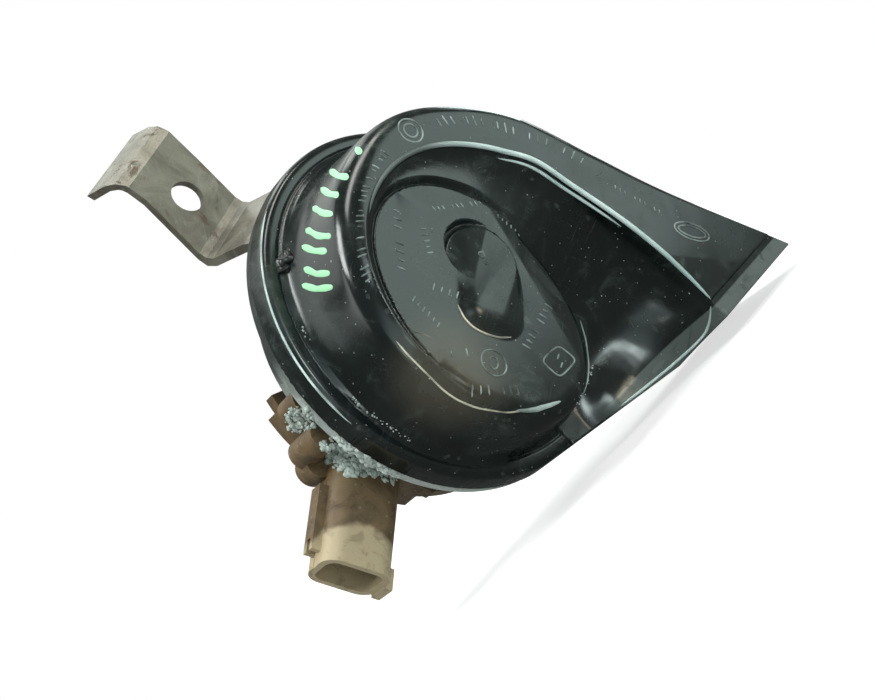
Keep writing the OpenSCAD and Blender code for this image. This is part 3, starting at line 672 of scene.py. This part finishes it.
black_plastic, tree, shader, place = new_finish("black_moulding")
film = use(tree, patchy_film, place, Scale=26.0, Low=0.42, High=0.7, Bend=0.8)
smear = use(tree, patchy_film, place, Scale=90.0, Low=0.5, High=0.72, Bend=1.5)
specks = use(tree, dust_specks, place, Scale=750.0, Size=0.13, Share=0.16)
crumbs = use(tree, dust_specks, place, Scale=240.0, Size=0.08, Share=0.05)
scuffs = use(tree, hairlines, place, Scale=40.0, Width=0.0022, Turn=0.5, Stretch=22.0)
scuffs_2 = use(tree, hairlines, place, Scale=50.0, Width=0.0018, Turn=2.1, Stretch=20.0)
rubbed = ramp(tree, put(tree, "NewGeometry", {}).outputs["Pointiness"], 0.53, 0.60)
colour = blend_of(tree, film, (0.004, 0.0075, 0.007, 1), (0.014, 0.023, 0.0215, 1))
colour = over(tree, colour, smear, 0.35, (0.060, 0.078, 0.072, 1))
colour = over(tree, colour, rubbed, 0.25, (0.10, 0.11, 0.105, 1))
marks = math_of(tree, "MAXIMUM", scuffs, scuffs_2)
colour = over(tree, colour, marks, 0.2, (0.12, 0.14, 0.13, 1))
spots = put(tree, "SeparateXYZ", {0: place}).outputs
lip = math_of(tree, "MULTIPLY", ramp(tree, spots[2], -0.1049, -0.1054), ramp(tree, spots[0], 0.010, 0.016))
lip_tone = blend_of(tree, smear, (0.13, 0.15, 0.143, 1), (0.05, 0.062, 0.058, 1))
# painted reflection: a warm brown patch by the plate's lower-left edge, where a warm light reflects
WARM_SHEEN_AT = (-0.028, -0.060, -0.075)
brown = ramp(tree, distance(tree, place, WARM_SHEEN_AT), 0.017, 0.004)
colour = over(tree, colour, brown, 0.5, (0.12, 0.10, 0.068, 1))
colour = over(tree, colour, lip, 0.9, lip_tone)
dirt = math_of(tree, "MAXIMUM", specks, crumbs)
colour = over(tree, colour, dirt, 0.6, (0.28, 0.31, 0.29, 1))
tree.links.new(colour, shader.inputs["Base Color"])
rough = math_of(tree, "ADD", math_of(tree, "MULTIPLY", film, 0.16), math_of(tree, "MULTIPLY", smear, 0.10))
rough = math_of(tree, "ADD", rough, math_of(tree, "MULTIPLY", dirt, 0.4))
tree.links.new(math_of(tree, "ADD", rough, 0.17), shader.inputs["Roughness"])
ripple = noise(tree, place, 160.0, 2.0)
scored = math_of(tree, "MULTIPLY", marks, 0.06)
pitted = math_of(tree, "SUBTRACT", math_of(tree, "MULTIPLY", ripple, 0.35), scored)
pitted = math_of(tree, "ADD", pitted, math_of(tree, "MULTIPLY", dirt, 0.5))
roughen(tree, shader, pitted, 0.35, 0.00012)
shader.inputs["IOR"].default_value = 1.52
shell_mesh.materials.clear()
shell_mesh.materials.append(black_plastic)


# Painted highlight edges
# Thin beads along the moulding's edges are coloured pale as a painted highlight: along the ridge's inner
# rim, the mouth's lip, the foot of the nose, the plate's edge and the flange's corner.
def length_along(line):
    """How far each point of a line is from its start, measured along it."""
    return np.r_[0, np.cumsum(np.linalg.norm(np.diff(line, axis=0), axis=1))]


def smoothed(line, rounds):
    for _ in range(rounds):
        line[1:-1] = (line[:-2] + 2 * line[1:-1] + line[2:]) / 4
    return line


def horn_piece(name, points, faces, material):
    """A smooth piece that rides the horn, from points in the row frame."""
    mesh = bpy.data.meshes.new(name)
    mesh.from_pydata(points, [], faces)
    mesh.polygons.foreach_set("use_smooth", np.ones(len(faces), bool))
    mesh.materials.append(material)
    piece = bpy.data.objects.new(name, mesh)
    scene.collection.objects.link(piece)
    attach(piece, "horn")


def tubes(name, paths, material):
    """One mesh of thin rounded cords: each path is (points in the horn's own mm, radius, length of its
    thinning ends in mm)."""
    points, faces = [], []
    for line, radius, thinning in paths:
        line = np.asarray(line, float)
        arc = length_along(line)
        full = np.clip((np.minimum(arc, arc[-1] - arc) + 0.02) / thinning, 0, 1)
        radius = radius * np.sqrt(1 - (1 - full) ** 2)
        along = np.gradient(line, axis=0)
        along /= np.linalg.norm(along, axis=1, keepdims=True)
        side = np.cross(along, (0, 0, 1.0))
        side /= np.maximum(np.linalg.norm(side, axis=1, keepdims=True), 1e-6)
        rise = np.cross(side, along)
        first, n = len(points), 10
        for centre, a, b, thick in zip(line, side, rise, radius):
            points += [centre + thick * (cosd(f) * a + sind(f) * b) for f in np.arange(n) * 360 / n]
        for i in range(len(line) - 1):
            for j in range(n):
                k = first + i * n
                faces.append((k + j, k + (j + 1) % n, k + n + (j + 1) % n, k + n + j))
        faces += [tuple(first + j for j in range(n))[::-1], tuple(len(points) - n + j for j in range(n))]
    horn_piece(name, [tuple(p) for p in to_row(points)], faces, material)


def on_ridge(t, r, z):
    """Points at travel t, radius r and height z."""
    return np.column_stack([r * cosd(RIDGE_START - t), r * sind(RIDGE_START - t), z])


# two fine beads follow the ridge's inner rim, and one the edge between the trough and the mouth's lip
BEAD_DOWN, LOWER_BEAD_DOWN = 0.36, 1.9
t_rim = np.linspace(92, 273, 440)
rim = on_ridge(t_rim, wall_r(t_rim, 1) + 0.45, ridge_height(t_rim) - BEAD_DOWN)
t_in = np.linspace(190, 250, 200)
lower_z = ridge_height(t_in) - LOWER_BEAD_DOWN
depth = (lower_z - foot_height(t_in)) / (ridge_height(t_in) - 0.6 - foot_height(t_in))
inner = on_ridge(t_in, wall_r(t_in, np.sqrt(np.maximum(0, 1 - (1 - depth) ** 2))), lower_z)
highlight_edge, tree, shader, place = new_finish("highlight_edge")
patchy_highlight = use(tree, patchy_film, place, Scale=24.0, Low=0.34, High=0.60, Bend=0.4)
# painted highlight: the beads are pale in patches, and fade to near black away from the mouth's side
to_mouth = ramp(tree, put(tree, "SeparateXYZ", {0: place}).outputs[0], 0.004, 0.022, 0.12, 1.0)
pale = blend_of(tree, patchy_highlight, (0.34, 0.46, 0.44, 1), (0.74, 0.86, 0.84, 1))
tree.links.new(blend_of(tree, to_mouth, (0.02, 0.026, 0.024, 1), pale), shader.inputs["Base Color"])
shader.inputs["Roughness"].default_value = 0.3

# the flange's corner and four other edges: the mouth's lip, the foot of the nose, the plate's lower
# edge and the plate's right edge, each laid on the surface along a line of photo pixels
PHOTO_WIDE, PHOTO_HIGH = 875, 700
PHOTO_F = camera_data.lens / camera_data.sensor_width * PHOTO_WIDE


def seen_at(pixel):
    """The first surface that the photo's camera meets at a pixel: its place, its direction, its object."""
    right, up = pixel[0] - PHOTO_WIDE / 2, PHOTO_HIGH / 2 - pixel[1]
    ahead = photo_camera.matrix_world.to_3x3() @ Vector((right / PHOTO_F, up / PHOTO_F, -1))
    hit, place, facing, _, thing, _ = scene.ray_cast(
        bpy.context.evaluated_depsgraph_get(), photo_camera.matrix_world.translation, ahead.normalized()
    )
    return (place, facing, thing) if hit else None


def laid(pixels, sink=0.12):
    """A smooth line through photo pixels, laid on what they show, in the horn's own mm."""
    pixels = np.array(pixels, float)
    arc = length_along(pixels)
    s = np.linspace(0, arc[-1], int(arc[-1] / 2) + 2)
    line = []
    for pixel in smoothed(np.column_stack([np.interp(s, arc, pixels[:, k]) for k in (0, 1)]), 6):
        place, facing, _ = seen_at(pixel)
        place = place - facing * sink / 1000
        line.append((place.x * 1000 - 2, place.z * 1000 + 61, -place.y * 1000 - 35))
    return smoothed(np.array(line), 3)


LIP_LINE = ((711, 303), (710, 320), (706, 333), (694, 346), (669, 368), (642, 390), (618, 408))
tubes("rim_beads", [(rim, 0.60, 16), (inner, 0.42, 14), (laid(LIP_LINE), 0.36, 9)], highlight_edge)
NOSE_FOOT = ((457, 303), (464, 318), (474, 328), (486, 334), (500, 338), (513, 337))
PLATE_LOW = ((392, 336), (408, 355), (430, 377), (444, 391), (457, 400), (476, 408), (507, 413))
PLATE_LOW += ((535, 409), (556, 401))
PLATE_GLOSS = ((516, 411), (532, 410), (548, 406), (564, 400))
PLATE_RIGHT = ((579, 316), (586, 340), (589, 364), (588, 380), (582, 398))
# painted highlight: warm pale beads along the nose's foot and the plate's lower edge
warm_highlight = two_tone(
    "warm_highlight", patchy_film, (0.16, 0.15, 0.12, 1), (0.66, 0.62, 0.48, 1), 0.3,
    Scale=60.0, Low=0.36, High=0.60, Bend=0.4,
)
tubes("mould_edges", [(laid(NOSE_FOOT), 0.26, 3), (laid(PLATE_LOW), 0.24, 8)], warm_highlight)
around, CORNER_R, CORNER_Z = np.linspace(112, 196, 200), 44.35, 5.25
corner = np.column_stack([CORNER_R * cosd(around), CORNER_R * sind(around), CORNER_Z + 0 * around])
# painted highlight: cool pale beads along the plate's right edge, a glossy patch by its lower edge, and the
# flange's corner
cool_highlight = two_tone(
    "cool_highlight", patchy_film, (0.12, 0.16, 0.15, 1), (0.60, 0.70, 0.68, 1), 0.3,
    Scale=45.0, Low=0.36, High=0.60, Bend=0.4,
)
plate_edges = [(laid(PLATE_RIGHT), 0.22, 6), (laid(PLATE_GLOSS, 0.3), 0.62, 7)]
tubes("outer_edges", plate_edges + [(corner, 0.36, 14)], cool_highlight)

# Raised marks
# Plain raised rings, bars, dots and rows of tally strokes on the plate and the ridge. They are made
# by the mould together with the shell, and their tops are painted paler in places as a painted highlight.
MARK_R = 0.19
# painted highlight: the marks' pale patches stand for the light that their raised tops catch
mark_plastic = two_tone(
    "mark_plastic", patchy_film, (0.05, 0.066, 0.062, 1), (0.34, 0.40, 0.385, 1), 0.28,
    Scale=160.0, Low=0.35, High=0.65, Bend=0.6,
)


def draped(x, y):
    """Flat points laid on the moulding's top face."""
    return np.column_stack([x, y, on_map(top_map, x, y)])


def ring(x, y, a, b=None, turn=0.0):
    """A circle, or an oval of half widths a and b."""
    f = np.linspace(0, 360, 40)
    along, across = a * cosd(f), (b or a) * sind(f)
    return draped(x + along * cosd(turn) - across * sind(turn), y + along * sind(turn) + across * cosd(turn))


def bar(x, y, length, turn):
    s = np.linspace(-0.5, 0.5, 7) * length
    return draped(x + s * cosd(turn), y + s * sind(turn))


def tally(start, end, count, length, lean=0.0, gap=0):
    """Bars across a line from start to end; every gap-th one is left out."""
    turn = math.degrees(math.atan2(end[1] - start[1], end[0] - start[0])) + 90 + lean
    bars = []
    for k in range(count):
        if not gap or (k + 1) % gap:
            x, y = np.add(start, np.subtract(end, start) * k / max(1, count - 1))
            bars.append(bar(x, y, length * (0.75 if k % 3 == 1 else 1.0), turn))
    return bars


marks = [ring(4.6, 30.9, 3.0), ring(4.6, 30.9, 1.7)]
for k, f in enumerate(np.linspace(66, -5, 21)):
    r = np.interp(f, (-5, 27, 66), (40.2, 33.4, 31.4))
    if k % 4 != 3:
        marks.append(bar(r * cosd(f), r * sind(f), 3.0 if k % 2 else 2.2, f + 12))
for k, f in enumerate(np.linspace(98, 160, 28)):
    r = np.interp(f, (96, 120, 141, 160, 173), (30.4, 31.2, 32.6, 34.2, 34.6))
    if k % 5 != 4 and k % 7:
        marks.append(bar(r * cosd(f), r * sind(f), 1.9 if k % 3 else 1.1, f + 8))
marks += tally((40.6, -8.4), (46.2, -19.6), 10, 1.3, 12, 4)
marks += [ring(50.0, -28.4, 5.2, 2.4, -46), ring(50.0, -28.4, 4.1, 1.5, -46)]
marks += [ring(-20.7, -18.2, 3.1), ring(-20.7, -18.2, 1.5, 1.0, 35)]
DIAMOND = ((549, 353), (558, 345), (577, 360), (560, 378), (541, 361), (549, 353))
marks += [laid(DIAMOND, 0.0), bar(-5.2, -26.9, 1.6, 20), bar(-6.2, -28.7, 1.6, 20)]
marks += tally((-10.3, -20.6), (3.2, -17.6), 9, 2.4, 8, 5)
marks += tally((-29.8, -19.2), (-19.6, -27.0), 8, 2.4, 0, 4)
marks += tally((-21.8, 9.2), (-11.5, 19.4), 8, 2.2, -10, 5)
marks += tally((-12.6, 8.0), (-9.2, 12.8), 5, 1.9, 10)
marks += tally((-2.6, 14.8), (9.6, 9.4), 11, 1.3, 20, 4)
marks += tally((11.2, 4.6), (13.0, -1.6), 6, 1.2, 15)
marks += tally((-18.6, 2.0), (-15.2, -2.6), 4, 2.1, -12)
marks += tally((-25.2, 2.8), (-25.0, -4.6), 6, 1.8, 15)
marks += tally((-27.6, -10.4), (-24.4, -12.8), 2, 2.8)
marks += [ring(-1.7, 0.4, 0.75), ring(-2.6, -1.6, 0.3)]
tubes("raised_marks", [(line, MARK_R, 0.3) for line in marks], mark_plastic)

# Brush strokes
# Eight short strokes of pale green paint, brushed on the trumpet's wall by hand and dried to a thin
# skin. Each is laid along a short line of photo pixels.
STROKES = (
    ((302, 285), (316, 289), (333, 287)),
    ((304, 268), (316, 274), (330, 273)),
    ((302, 246), (314, 251), (327, 251)),
    ((306, 229), (318, 236), (331, 236)),
    ((313, 207), (322, 213), (333, 214)),
    ((321, 188), (329, 194), (339, 195)),
    ((330, 170), (338, 176), (349, 177)),
    ((356, 147), (358, 150), (361, 154)),
)
STROKE_HALF, PAINT_THICK, PAINT_SUNK = 3.6, 0.00012, 0.00003
paint, tree, shader, place = new_finish("green_brush_paint")
thin_spots = use(tree, patchy_film, place, Scale=220.0, Low=0.55, High=0.8, Bend=0.6)
green = blend_of(tree, thin_spots, (0.36, 0.74, 0.43, 1), (0.26, 0.58, 0.36, 1))
tree.links.new(green, shader.inputs["Base Color"])
shader.inputs["Roughness"].default_value = 0.45
dried = noise(tree, place, 700.0, 3.0)
roughen(tree, shader, dried, 0.3, 0.0001)
rng = np.random.default_rng(7)
points, faces = [], []
for stroke in STROKES:
    stroke = np.array(stroke, float)
    arc = length_along(stroke)
    s = np.linspace(0, arc[-1], int(arc[-1] / 0.8))
    mid = smoothed(np.column_stack([np.interp(s, arc, stroke[:, k]) for k in (0, 1)]), 8)
    tangent = np.gradient(mid, axis=0)
    tangent /= np.linalg.norm(tangent, axis=1, keepdims=True)
    across = np.column_stack([-tangent[:, 1], tangent[:, 0]])
    end = np.clip(np.minimum(s, s[-1] - s) / 3.2, 0, 1)
    uneven = 1 + 0.10 * np.sin(s * 0.45 + rng.uniform(0, 6))
    half = STROKE_HALF * np.sqrt(np.maximum(0.02, 1 - (1 - end) ** 2)) * uneven
    first = len(points)
    for m, a, h in zip(mid, across, half):
        for k in np.linspace(-1, 1, 7):
            found = seen_at(m + a * h * k) or found
            lift = PAINT_THICK * (1 - k**4) - PAINT_SUNK
            points.append(tuple(found[0] + found[1] * lift))
    for i in range(len(mid) - 1):
        for j in range(6):
            k = first + i * 7 + j
            faces.append((k, k + 1, k + 8, k + 7))
horn_piece("brush_strokes", points, faces, paint)

# Sealant and grit
# A blob of hardened black sealant sits on the flange. Pale grit has caught in the groove and along
# the plate's edge, and a few grains lie on the glossy faces.
def lumps(name, spots, material, seed, detail=2, flat=0.6):
    """Small rough grains sunk into what carries them: each spot is (place, facing, size in mm)."""
    rng = np.random.default_rng(seed)
    grain = bmesh.new()
    bmesh.ops.create_icosphere(grain, subdivisions=detail, radius=1.0)
    ball = np.array([v.co[:] for v in grain.verts])
    tris = np.array([[v.index for v in f.verts] for f in grain.faces])
    grain.free()
    points, faces = [], []
    for place, facing, size in spots:
        waves = rng.normal(size=(5, 3)) * 2.2
        bumpy = 1 + 0.16 * np.sin(ball @ waves.T + rng.uniform(0, 6, 5)).sum(1)
        turn = Vector(facing).to_track_quat("Z", "Y").to_matrix()
        spin = Matrix.Rotation(rng.uniform(0, 6.28), 3, "Z")
        stretch = np.array([rng.uniform(0.7, 1.4), rng.uniform(0.7, 1.2), flat])
        body = (ball * bumpy[:, None] * stretch * size / 1000) @ np.array(turn @ spin).T
        faces += (tris + len(points)).tolist()
        points += (body + np.array(place) + 0.15 * size / 1000 * flat * np.array(facing)).tolist()
    horn_piece(name, points, faces, material)


TAR_PIXELS = (((284, 262), 1.7), ((280, 268), 1.3), ((288, 256), 1.2), ((286, 268), 0.9))
tar = [(*seen_at(pixel)[:2], size) for pixel, size in TAR_PIXELS]
sealant = two_tone(
    "old_sealant", patchy_film, (0.006, 0.007, 0.007, 1), (0.02, 0.022, 0.021, 1), 0.3,
    Scale=400.0, Low=0.4, High=0.7, Bend=0.5,
)
lumps("sealant_blob", tar, sealant, 3, 3, 0.7)
grit = two_tone(
    "pale_grit", patchy_film, (0.55, 0.60, 0.58, 1), (0.35, 0.38, 0.36, 1), 0.8,
    Scale=300.0, Low=0.4, High=0.6, Bend=0.5,
)
# each line or area of the photo, from one pixel to another, with the number of grains in it
GRIT_LINES = (((301, 326), (308, 340), 8), ((345, 392), (360, 406), 9), ((366, 412), (412, 441), 26))
GRIT_LINES += (((584, 392), (574, 412), 16), ((592, 362), (588, 388), 10))
GRIT_AREAS = (((560, 190), (640, 300), 10), ((590, 280), (690, 370), 12))
GRIT_AREAS += (((300, 150), (560, 400), 20), ((420, 420), (560, 460), 6))
flecks = []
for (ax, ay), (bx, by), count in GRIT_LINES:
    for k in rng.uniform(0, 1, count):
        across, down = ax + (bx - ax) * k + rng.normal(0, 1.0), ay + (by - ay) * k + rng.normal(0, 1.0)
        flecks.append((seen_at((across, down)), rng.uniform(0.10, 0.26)))
for (ax, ay), (bx, by), count in GRIT_AREAS:
    for kx, ky in rng.uniform(0, 1, (count, 2)):
        found = seen_at((ax + (bx - ax) * kx, ay + (by - ay) * ky))
        flecks.append((found, rng.uniform(0.07, 0.17)))
flecks = [(*found[:2], size) for found, size in flecks if found and found[2] == shell_skin]
lumps("pale_grit", flecks, grit, 5, 1, 0.5)

# Rear plate and the seals
# The flat black plate that closes the trumpet from behind and carries the throat, the soft seal
# under it and the ring seal in the crimp. All are plain mouldings or stampings pressed in place.

# faces that meet at less than 40 degrees shade as one curve, as pressed and moulded corners do
soft_corners = bpy.data.node_groups.new("soft_corners", "GeometryNodeTree")
soft_corners.interface.new_socket(name="Geometry", in_out="INPUT", socket_type="NodeSocketGeometry")
soft_corners.interface.new_socket(name="Geometry", in_out="OUTPUT", socket_type="NodeSocketGeometry")
inlet, outflow = soft_corners.nodes.new("NodeGroupInput"), soft_corners.nodes.new("NodeGroupOutput")
all_smooth = soft_corners.nodes.new("GeometryNodeSetShadeSmooth")
keep_sharp = soft_corners.nodes.new("GeometryNodeSetShadeSmooth")
keep_sharp.domain = "EDGE"
keep_sharp.inputs["Shade Smooth"].default_value = False
corner_angle = soft_corners.nodes.new("GeometryNodeInputMeshEdgeAngle")
is_corner = soft_corners.nodes.new("ShaderNodeMath")
is_corner.operation = "GREATER_THAN"
is_corner.inputs[1].default_value = math.radians(40)
soft_corners.links.new(inlet.outputs[0], all_smooth.inputs["Geometry"])
soft_corners.links.new(all_smooth.outputs[0], keep_sharp.inputs["Geometry"])
soft_corners.links.new(corner_angle.outputs["Unsigned Angle"], is_corner.inputs[0])
soft_corners.links.new(is_corner.outputs[0], keep_sharp.inputs["Selection"])
soft_corners.links.new(keep_sharp.outputs[0], outflow.inputs[0])


def dress(node, material, edge=0.0):
    """Gives a CAD node its finish, and a small rounding along its edges."""
    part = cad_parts[node]
    part.data.materials.clear()
    part.data.materials.append(material)
    if edge:
        worn_edge = part.modifiers.new("worn_edge", "BEVEL")
        worn_edge.width, worn_edge.segments = edge / 1000, 3
        worn_edge.limit_method, worn_edge.angle_limit = "ANGLE", math.radians(42)
        corners = part.modifiers.new("soft_corners", "NODES")
        corners.node_group = soft_corners
        even = part.modifiers.new("even_faces", "WEIGHTED_NORMAL")
        even.keep_sharp = True


dress("trumpet_base", black_plastic)
seal_rubber = two_tone(
    "seal_rubber", patchy_film, (0.02, 0.02, 0.02, 1), (0.06, 0.06, 0.055, 1), 0.75,
    Scale=120.0, Low=0.4, High=0.7, Bend=0.5,
)
dress("throat_gasket", seal_rubber)
dress("seal_ring", seal_rubber)

# Zinc-plated cup, crimped ring and diaphragm
# The deep-drawn steel cup behind the trumpet and the ring crimped round its flange. The plating
# has gone dull grey and is breaking out in white powdery corrosion, thickest by the connector.
zinc_steel, tree, shader, place = new_finish("dull_zinc")
dull = use(tree, patchy_film, place, Scale=60.0, Low=0.35, High=0.65, Bend=1.0)
powder = use(tree, patchy_film, place, Scale=210.0, Low=0.50, High=0.58, Bend=0.6)
BESIDE_SOCKET = (-0.033, -0.030, -0.086)
heavy = ramp(tree, distance(tree, place, BESIDE_SOCKET), 0.030, 0.012)
heavy = math_of(tree, "MULTIPLY", heavy, 0.45)
crusted = math_of(tree, "ADD", math_of(tree, "MULTIPLY", powder, 0.22), heavy)
crusted = math_of(tree, "MINIMUM", 1.0, math_of(tree, "ADD", crusted, 0.33))
lacquer = ramp(tree, put(tree, "SeparateXYZ", {0: place}).outputs[2], -0.058, -0.046)
rust_spots = use(tree, patchy_film, place, Scale=150.0, Low=0.62, High=0.68, Bend=0.2)
colour = blend_of(tree, dull, (0.20, 0.21, 0.205, 1), (0.10, 0.105, 0.10, 1))
colour = over(tree, colour, rust_spots, 0.6, (0.12, 0.07, 0.035, 1))
colour = blend_of(tree, crusted, colour, (0.52, 0.57, 0.55, 1))
colour = blend_of(tree, lacquer, colour, (0.018, 0.024, 0.023, 1))
tree.links.new(colour, shader.inputs["Base Color"])
unlacquered = math_of(tree, "SUBTRACT", 1.0, lacquer)
bare = math_of(tree, "MULTIPLY", ramp(tree, crusted, 0.0, 0.6, 0.85, 0.0), unlacquered)
tree.links.new(bare, shader.inputs["Metallic"])
tree.links.new(ramp(tree, crusted, 0.0, 0.8, 0.42, 0.9), shader.inputs["Roughness"])
crumbly = noise(tree, place, 900.0, 4.0, 0.7)
relief = math_of(tree, "MULTIPLY", crumbly, math_of(tree, "ADD", crusted, 0.12))
roughen(tree, shader, relief, 0.8, 0.0004)
for node in ("body_cup", "crimp_ring", "cap_rivets", "adjusting_screw", "pole_core"):
    dress(node, zinc_steel)

# crumbs of white corrosion heaped between the ring and the connector, and beside the first boss
crust = two_tone(
    "zinc_crust", patchy_film, (0.58, 0.66, 0.62, 1), (0.34, 0.38, 0.36, 1), 0.9,
    Scale=260.0, Low=0.4, High=0.62, Bend=0.6,
)
CRUST_AREAS = (((328, 444), (398, 476), 620, 0.62), ((322, 436), (352, 456), 120, 0.5))
CRUST_AREAS += (((284, 406), (314, 434), 200, 0.5), ((380, 462), (400, 484), 90, 0.45))
rng = np.random.default_rng(21)
heap = []
for (ax, ay), (bx, by), count, size in CRUST_AREAS:
    for kx, ky in rng.uniform(-1, 1, (count, 2)):
        if kx * kx + ky * ky < 1:
            across, down = (ax + bx + kx * (bx - ax)) / 2, (ay + by + ky * (by - ay)) / 2
            found = seen_at((across, down))
            if found and found[2] not in (shell_skin, floor):
                heap.append((found[0], found[1], size * rng.uniform(0.45, 1.2) ** 2))
lumps("zinc_crust", heap, crust, 9, 2, 0.75)

spring_steel = two_tone(
    "spring_steel", hairlines, (0.42, 0.42, 0.40, 1), (0.32, 0.32, 0.31, 1), 0.35, metal=0.9,
    Scale=90.0, Width=0.05, Turn=0.2, Stretch=20.0,
)
dress("diaphragm", spring_steel)
dress("moving_contact", spring_steel)

# Works inside the cup
# The armature on its rivet, the wound bobbin on the pole core, the wires and the breaker contacts.
# They can't be seen with the horn closed, so they have plain finishes of their own metals.
soft_iron = two_tone(
    "soft_iron", patchy_film, (0.20, 0.19, 0.18, 1), (0.11, 0.10, 0.095, 1), 0.5, metal=0.8,
    Scale=200.0, Low=0.4, High=0.6, Bend=0.5,
)
for node in ("armature", "armature_rivet", "fixed_point", "moving_point"):
    dress(node, soft_iron)
bobbin_plastic = two_tone(
    "bobbin_plastic", patchy_film, (0.55, 0.52, 0.44, 1), (0.48, 0.42, 0.30, 1), 0.5,
    Scale=80.0, Low=0.35, High=0.7, Bend=0.5,
)
dress("coil_bobbin", bobbin_plastic)
enamelled_wire, tree, shader, place = new_finish("enamelled_wire")
wave_inputs = {"Vector": place, "Scale": 420.0, "Distortion": 0.4}
turns = put(tree, "TexWave", wave_inputs, bands_direction="Y").outputs[1]
enamel = blend_of(tree, turns, (0.22, 0.07, 0.02, 1), (0.50, 0.20, 0.07, 1))
tree.links.new(enamel, shader.inputs["Base Color"])
shader.inputs["Metallic"].default_value = 0.7
shader.inputs["Roughness"].default_value = 0.3
dress("coil_winding", enamelled_wire)
dress("coil_leads", enamelled_wire)
brown_board = two_tone(
    "brown_board", hairlines, (0.10, 0.05, 0.025, 1), (0.16, 0.085, 0.04, 1), 0.55,
    Scale=60.0, Width=0.08, Turn=0.1, Stretch=12.0,
)
dress("contact_base", brown_board)
dress("push_tip", brown_board)
contact_brass, tree, shader, place = new_finish("contact_brass")
tarnish = use(tree, patchy_film, place, Scale=180.0, Low=0.4, High=0.7, Bend=0.5)
brass = blend_of(tree, tarnish, (0.60, 0.45, 0.20, 1), (0.28, 0.20, 0.10, 1))
tree.links.new(brass, shader.inputs["Base Color"])
shader.inputs["Metallic"].default_value = 0.9
tree.links.new(ramp(tree, tarnish, 0.0, 1.0, 0.3, 0.55), shader.inputs["Roughness"])
dress("fixed_contact", contact_brass)
dress("terminal_pins", contact_brass, 0.12)

# Rear cap with the two-pin socket
# A tan glass-filled moulding riveted to the cup's floor, with round bosses along the rim and the
# plug's shroud standing out. Road dirt has turned it brown, and it is paler near the shroud's open end.
cap_plastic, tree, shader, place = new_finish("tan_moulding")
SOCKET_END = (-0.0550, -0.0209, -0.0920)
ragged = math_of(tree, "MULTIPLY", noise(tree, place, 160.0, 4.0), 0.003)
paler_near_end = ramp(tree, math_of(tree, "ADD", distance(tree, place, SOCKET_END), ragged), 0.0136, 0.0124)
stain = use(tree, patchy_film, place, Scale=95.0, Low=0.36, High=0.62, Bend=1.2)
grime = use(tree, patchy_film, place, Scale=240.0, Low=0.50, High=0.64, Bend=0.8)
grit = use(tree, dust_specks, place, Scale=600.0, Size=0.2, Share=0.25)
colour = blend_of(tree, stain, (0.155, 0.098, 0.047, 1), (0.095, 0.062, 0.032, 1))
colour = over(tree, colour, paler_near_end, 0.9, (0.46, 0.37, 0.235, 1))
colour = over(tree, colour, grime, 0.3, (0.045, 0.034, 0.022, 1))
colour = over(tree, colour, grit, 0.25, (0.36, 0.33, 0.27, 1))
tree.links.new(colour, shader.inputs["Base Color"])
tree.links.new(math_of(tree, "ADD", 0.42, math_of(tree, "MULTIPLY", grime, 0.3)), shader.inputs["Roughness"])
rough_cast = noise(tree, place, 500.0, 5.0, 0.6)
roughen(tree, shader, math_of(tree, "ADD", rough_cast, math_of(tree, "MULTIPLY", grime, 0.5)), 0.5, 0.0003)
dress("terminal_cap", cap_plastic, 0.9)

# Bracket, washer and nut
# A pressed steel strap with two bends and a punched hole, held on the horn's stud by a spring
# washer and a nut. Its coating has worn brown-grey, with rust where the bends have cracked it.
bracket_steel, tree, shader, place = new_finish("worn_strap_steel")
mottle = use(tree, patchy_film, place, Scale=70.0, Low=0.34, High=0.66, Bend=0.9)
rust = use(tree, patchy_film, place, Scale=130.0, Low=0.56, High=0.66, Bend=0.7)
chalk = use(tree, patchy_film, place, Scale=310.0, Low=0.58, High=0.68, Bend=0.3)
scores = use(tree, hairlines, place, Scale=45.0, Width=0.012, Turn=0.9, Stretch=12.0)
colour = blend_of(tree, mottle, (0.23, 0.215, 0.175, 1), (0.115, 0.103, 0.080, 1))
colour = over(tree, colour, rust, 0.7, (0.11, 0.06, 0.03, 1))
colour = over(tree, colour, chalk, 0.4, (0.33, 0.34, 0.31, 1))
colour = over(tree, colour, scores, 0.14, (0.40, 0.40, 0.37, 1))
tree.links.new(colour, shader.inputs["Base Color"])
tree.links.new(ramp(tree, rust, 0.0, 1.0, 0.5, 0.1), shader.inputs["Metallic"])
matt = math_of(tree, "MAXIMUM", rust, chalk)
tree.links.new(ramp(tree, matt, 0.0, 1.0, 0.38, 0.8), shader.inputs["Roughness"])
pits = noise(tree, place, 420.0, 5.0, 0.65)
roughen(tree, shader, math_of(tree, "ADD", pits, math_of(tree, "MULTIPLY", rust, 0.4)), 0.45, 0.0003)
dress("bracket_strap", bracket_steel, 0.35)
dress("lock_washer", bracket_steel, 0.15)
dress("mounting_nut", bracket_steel, 0.3)
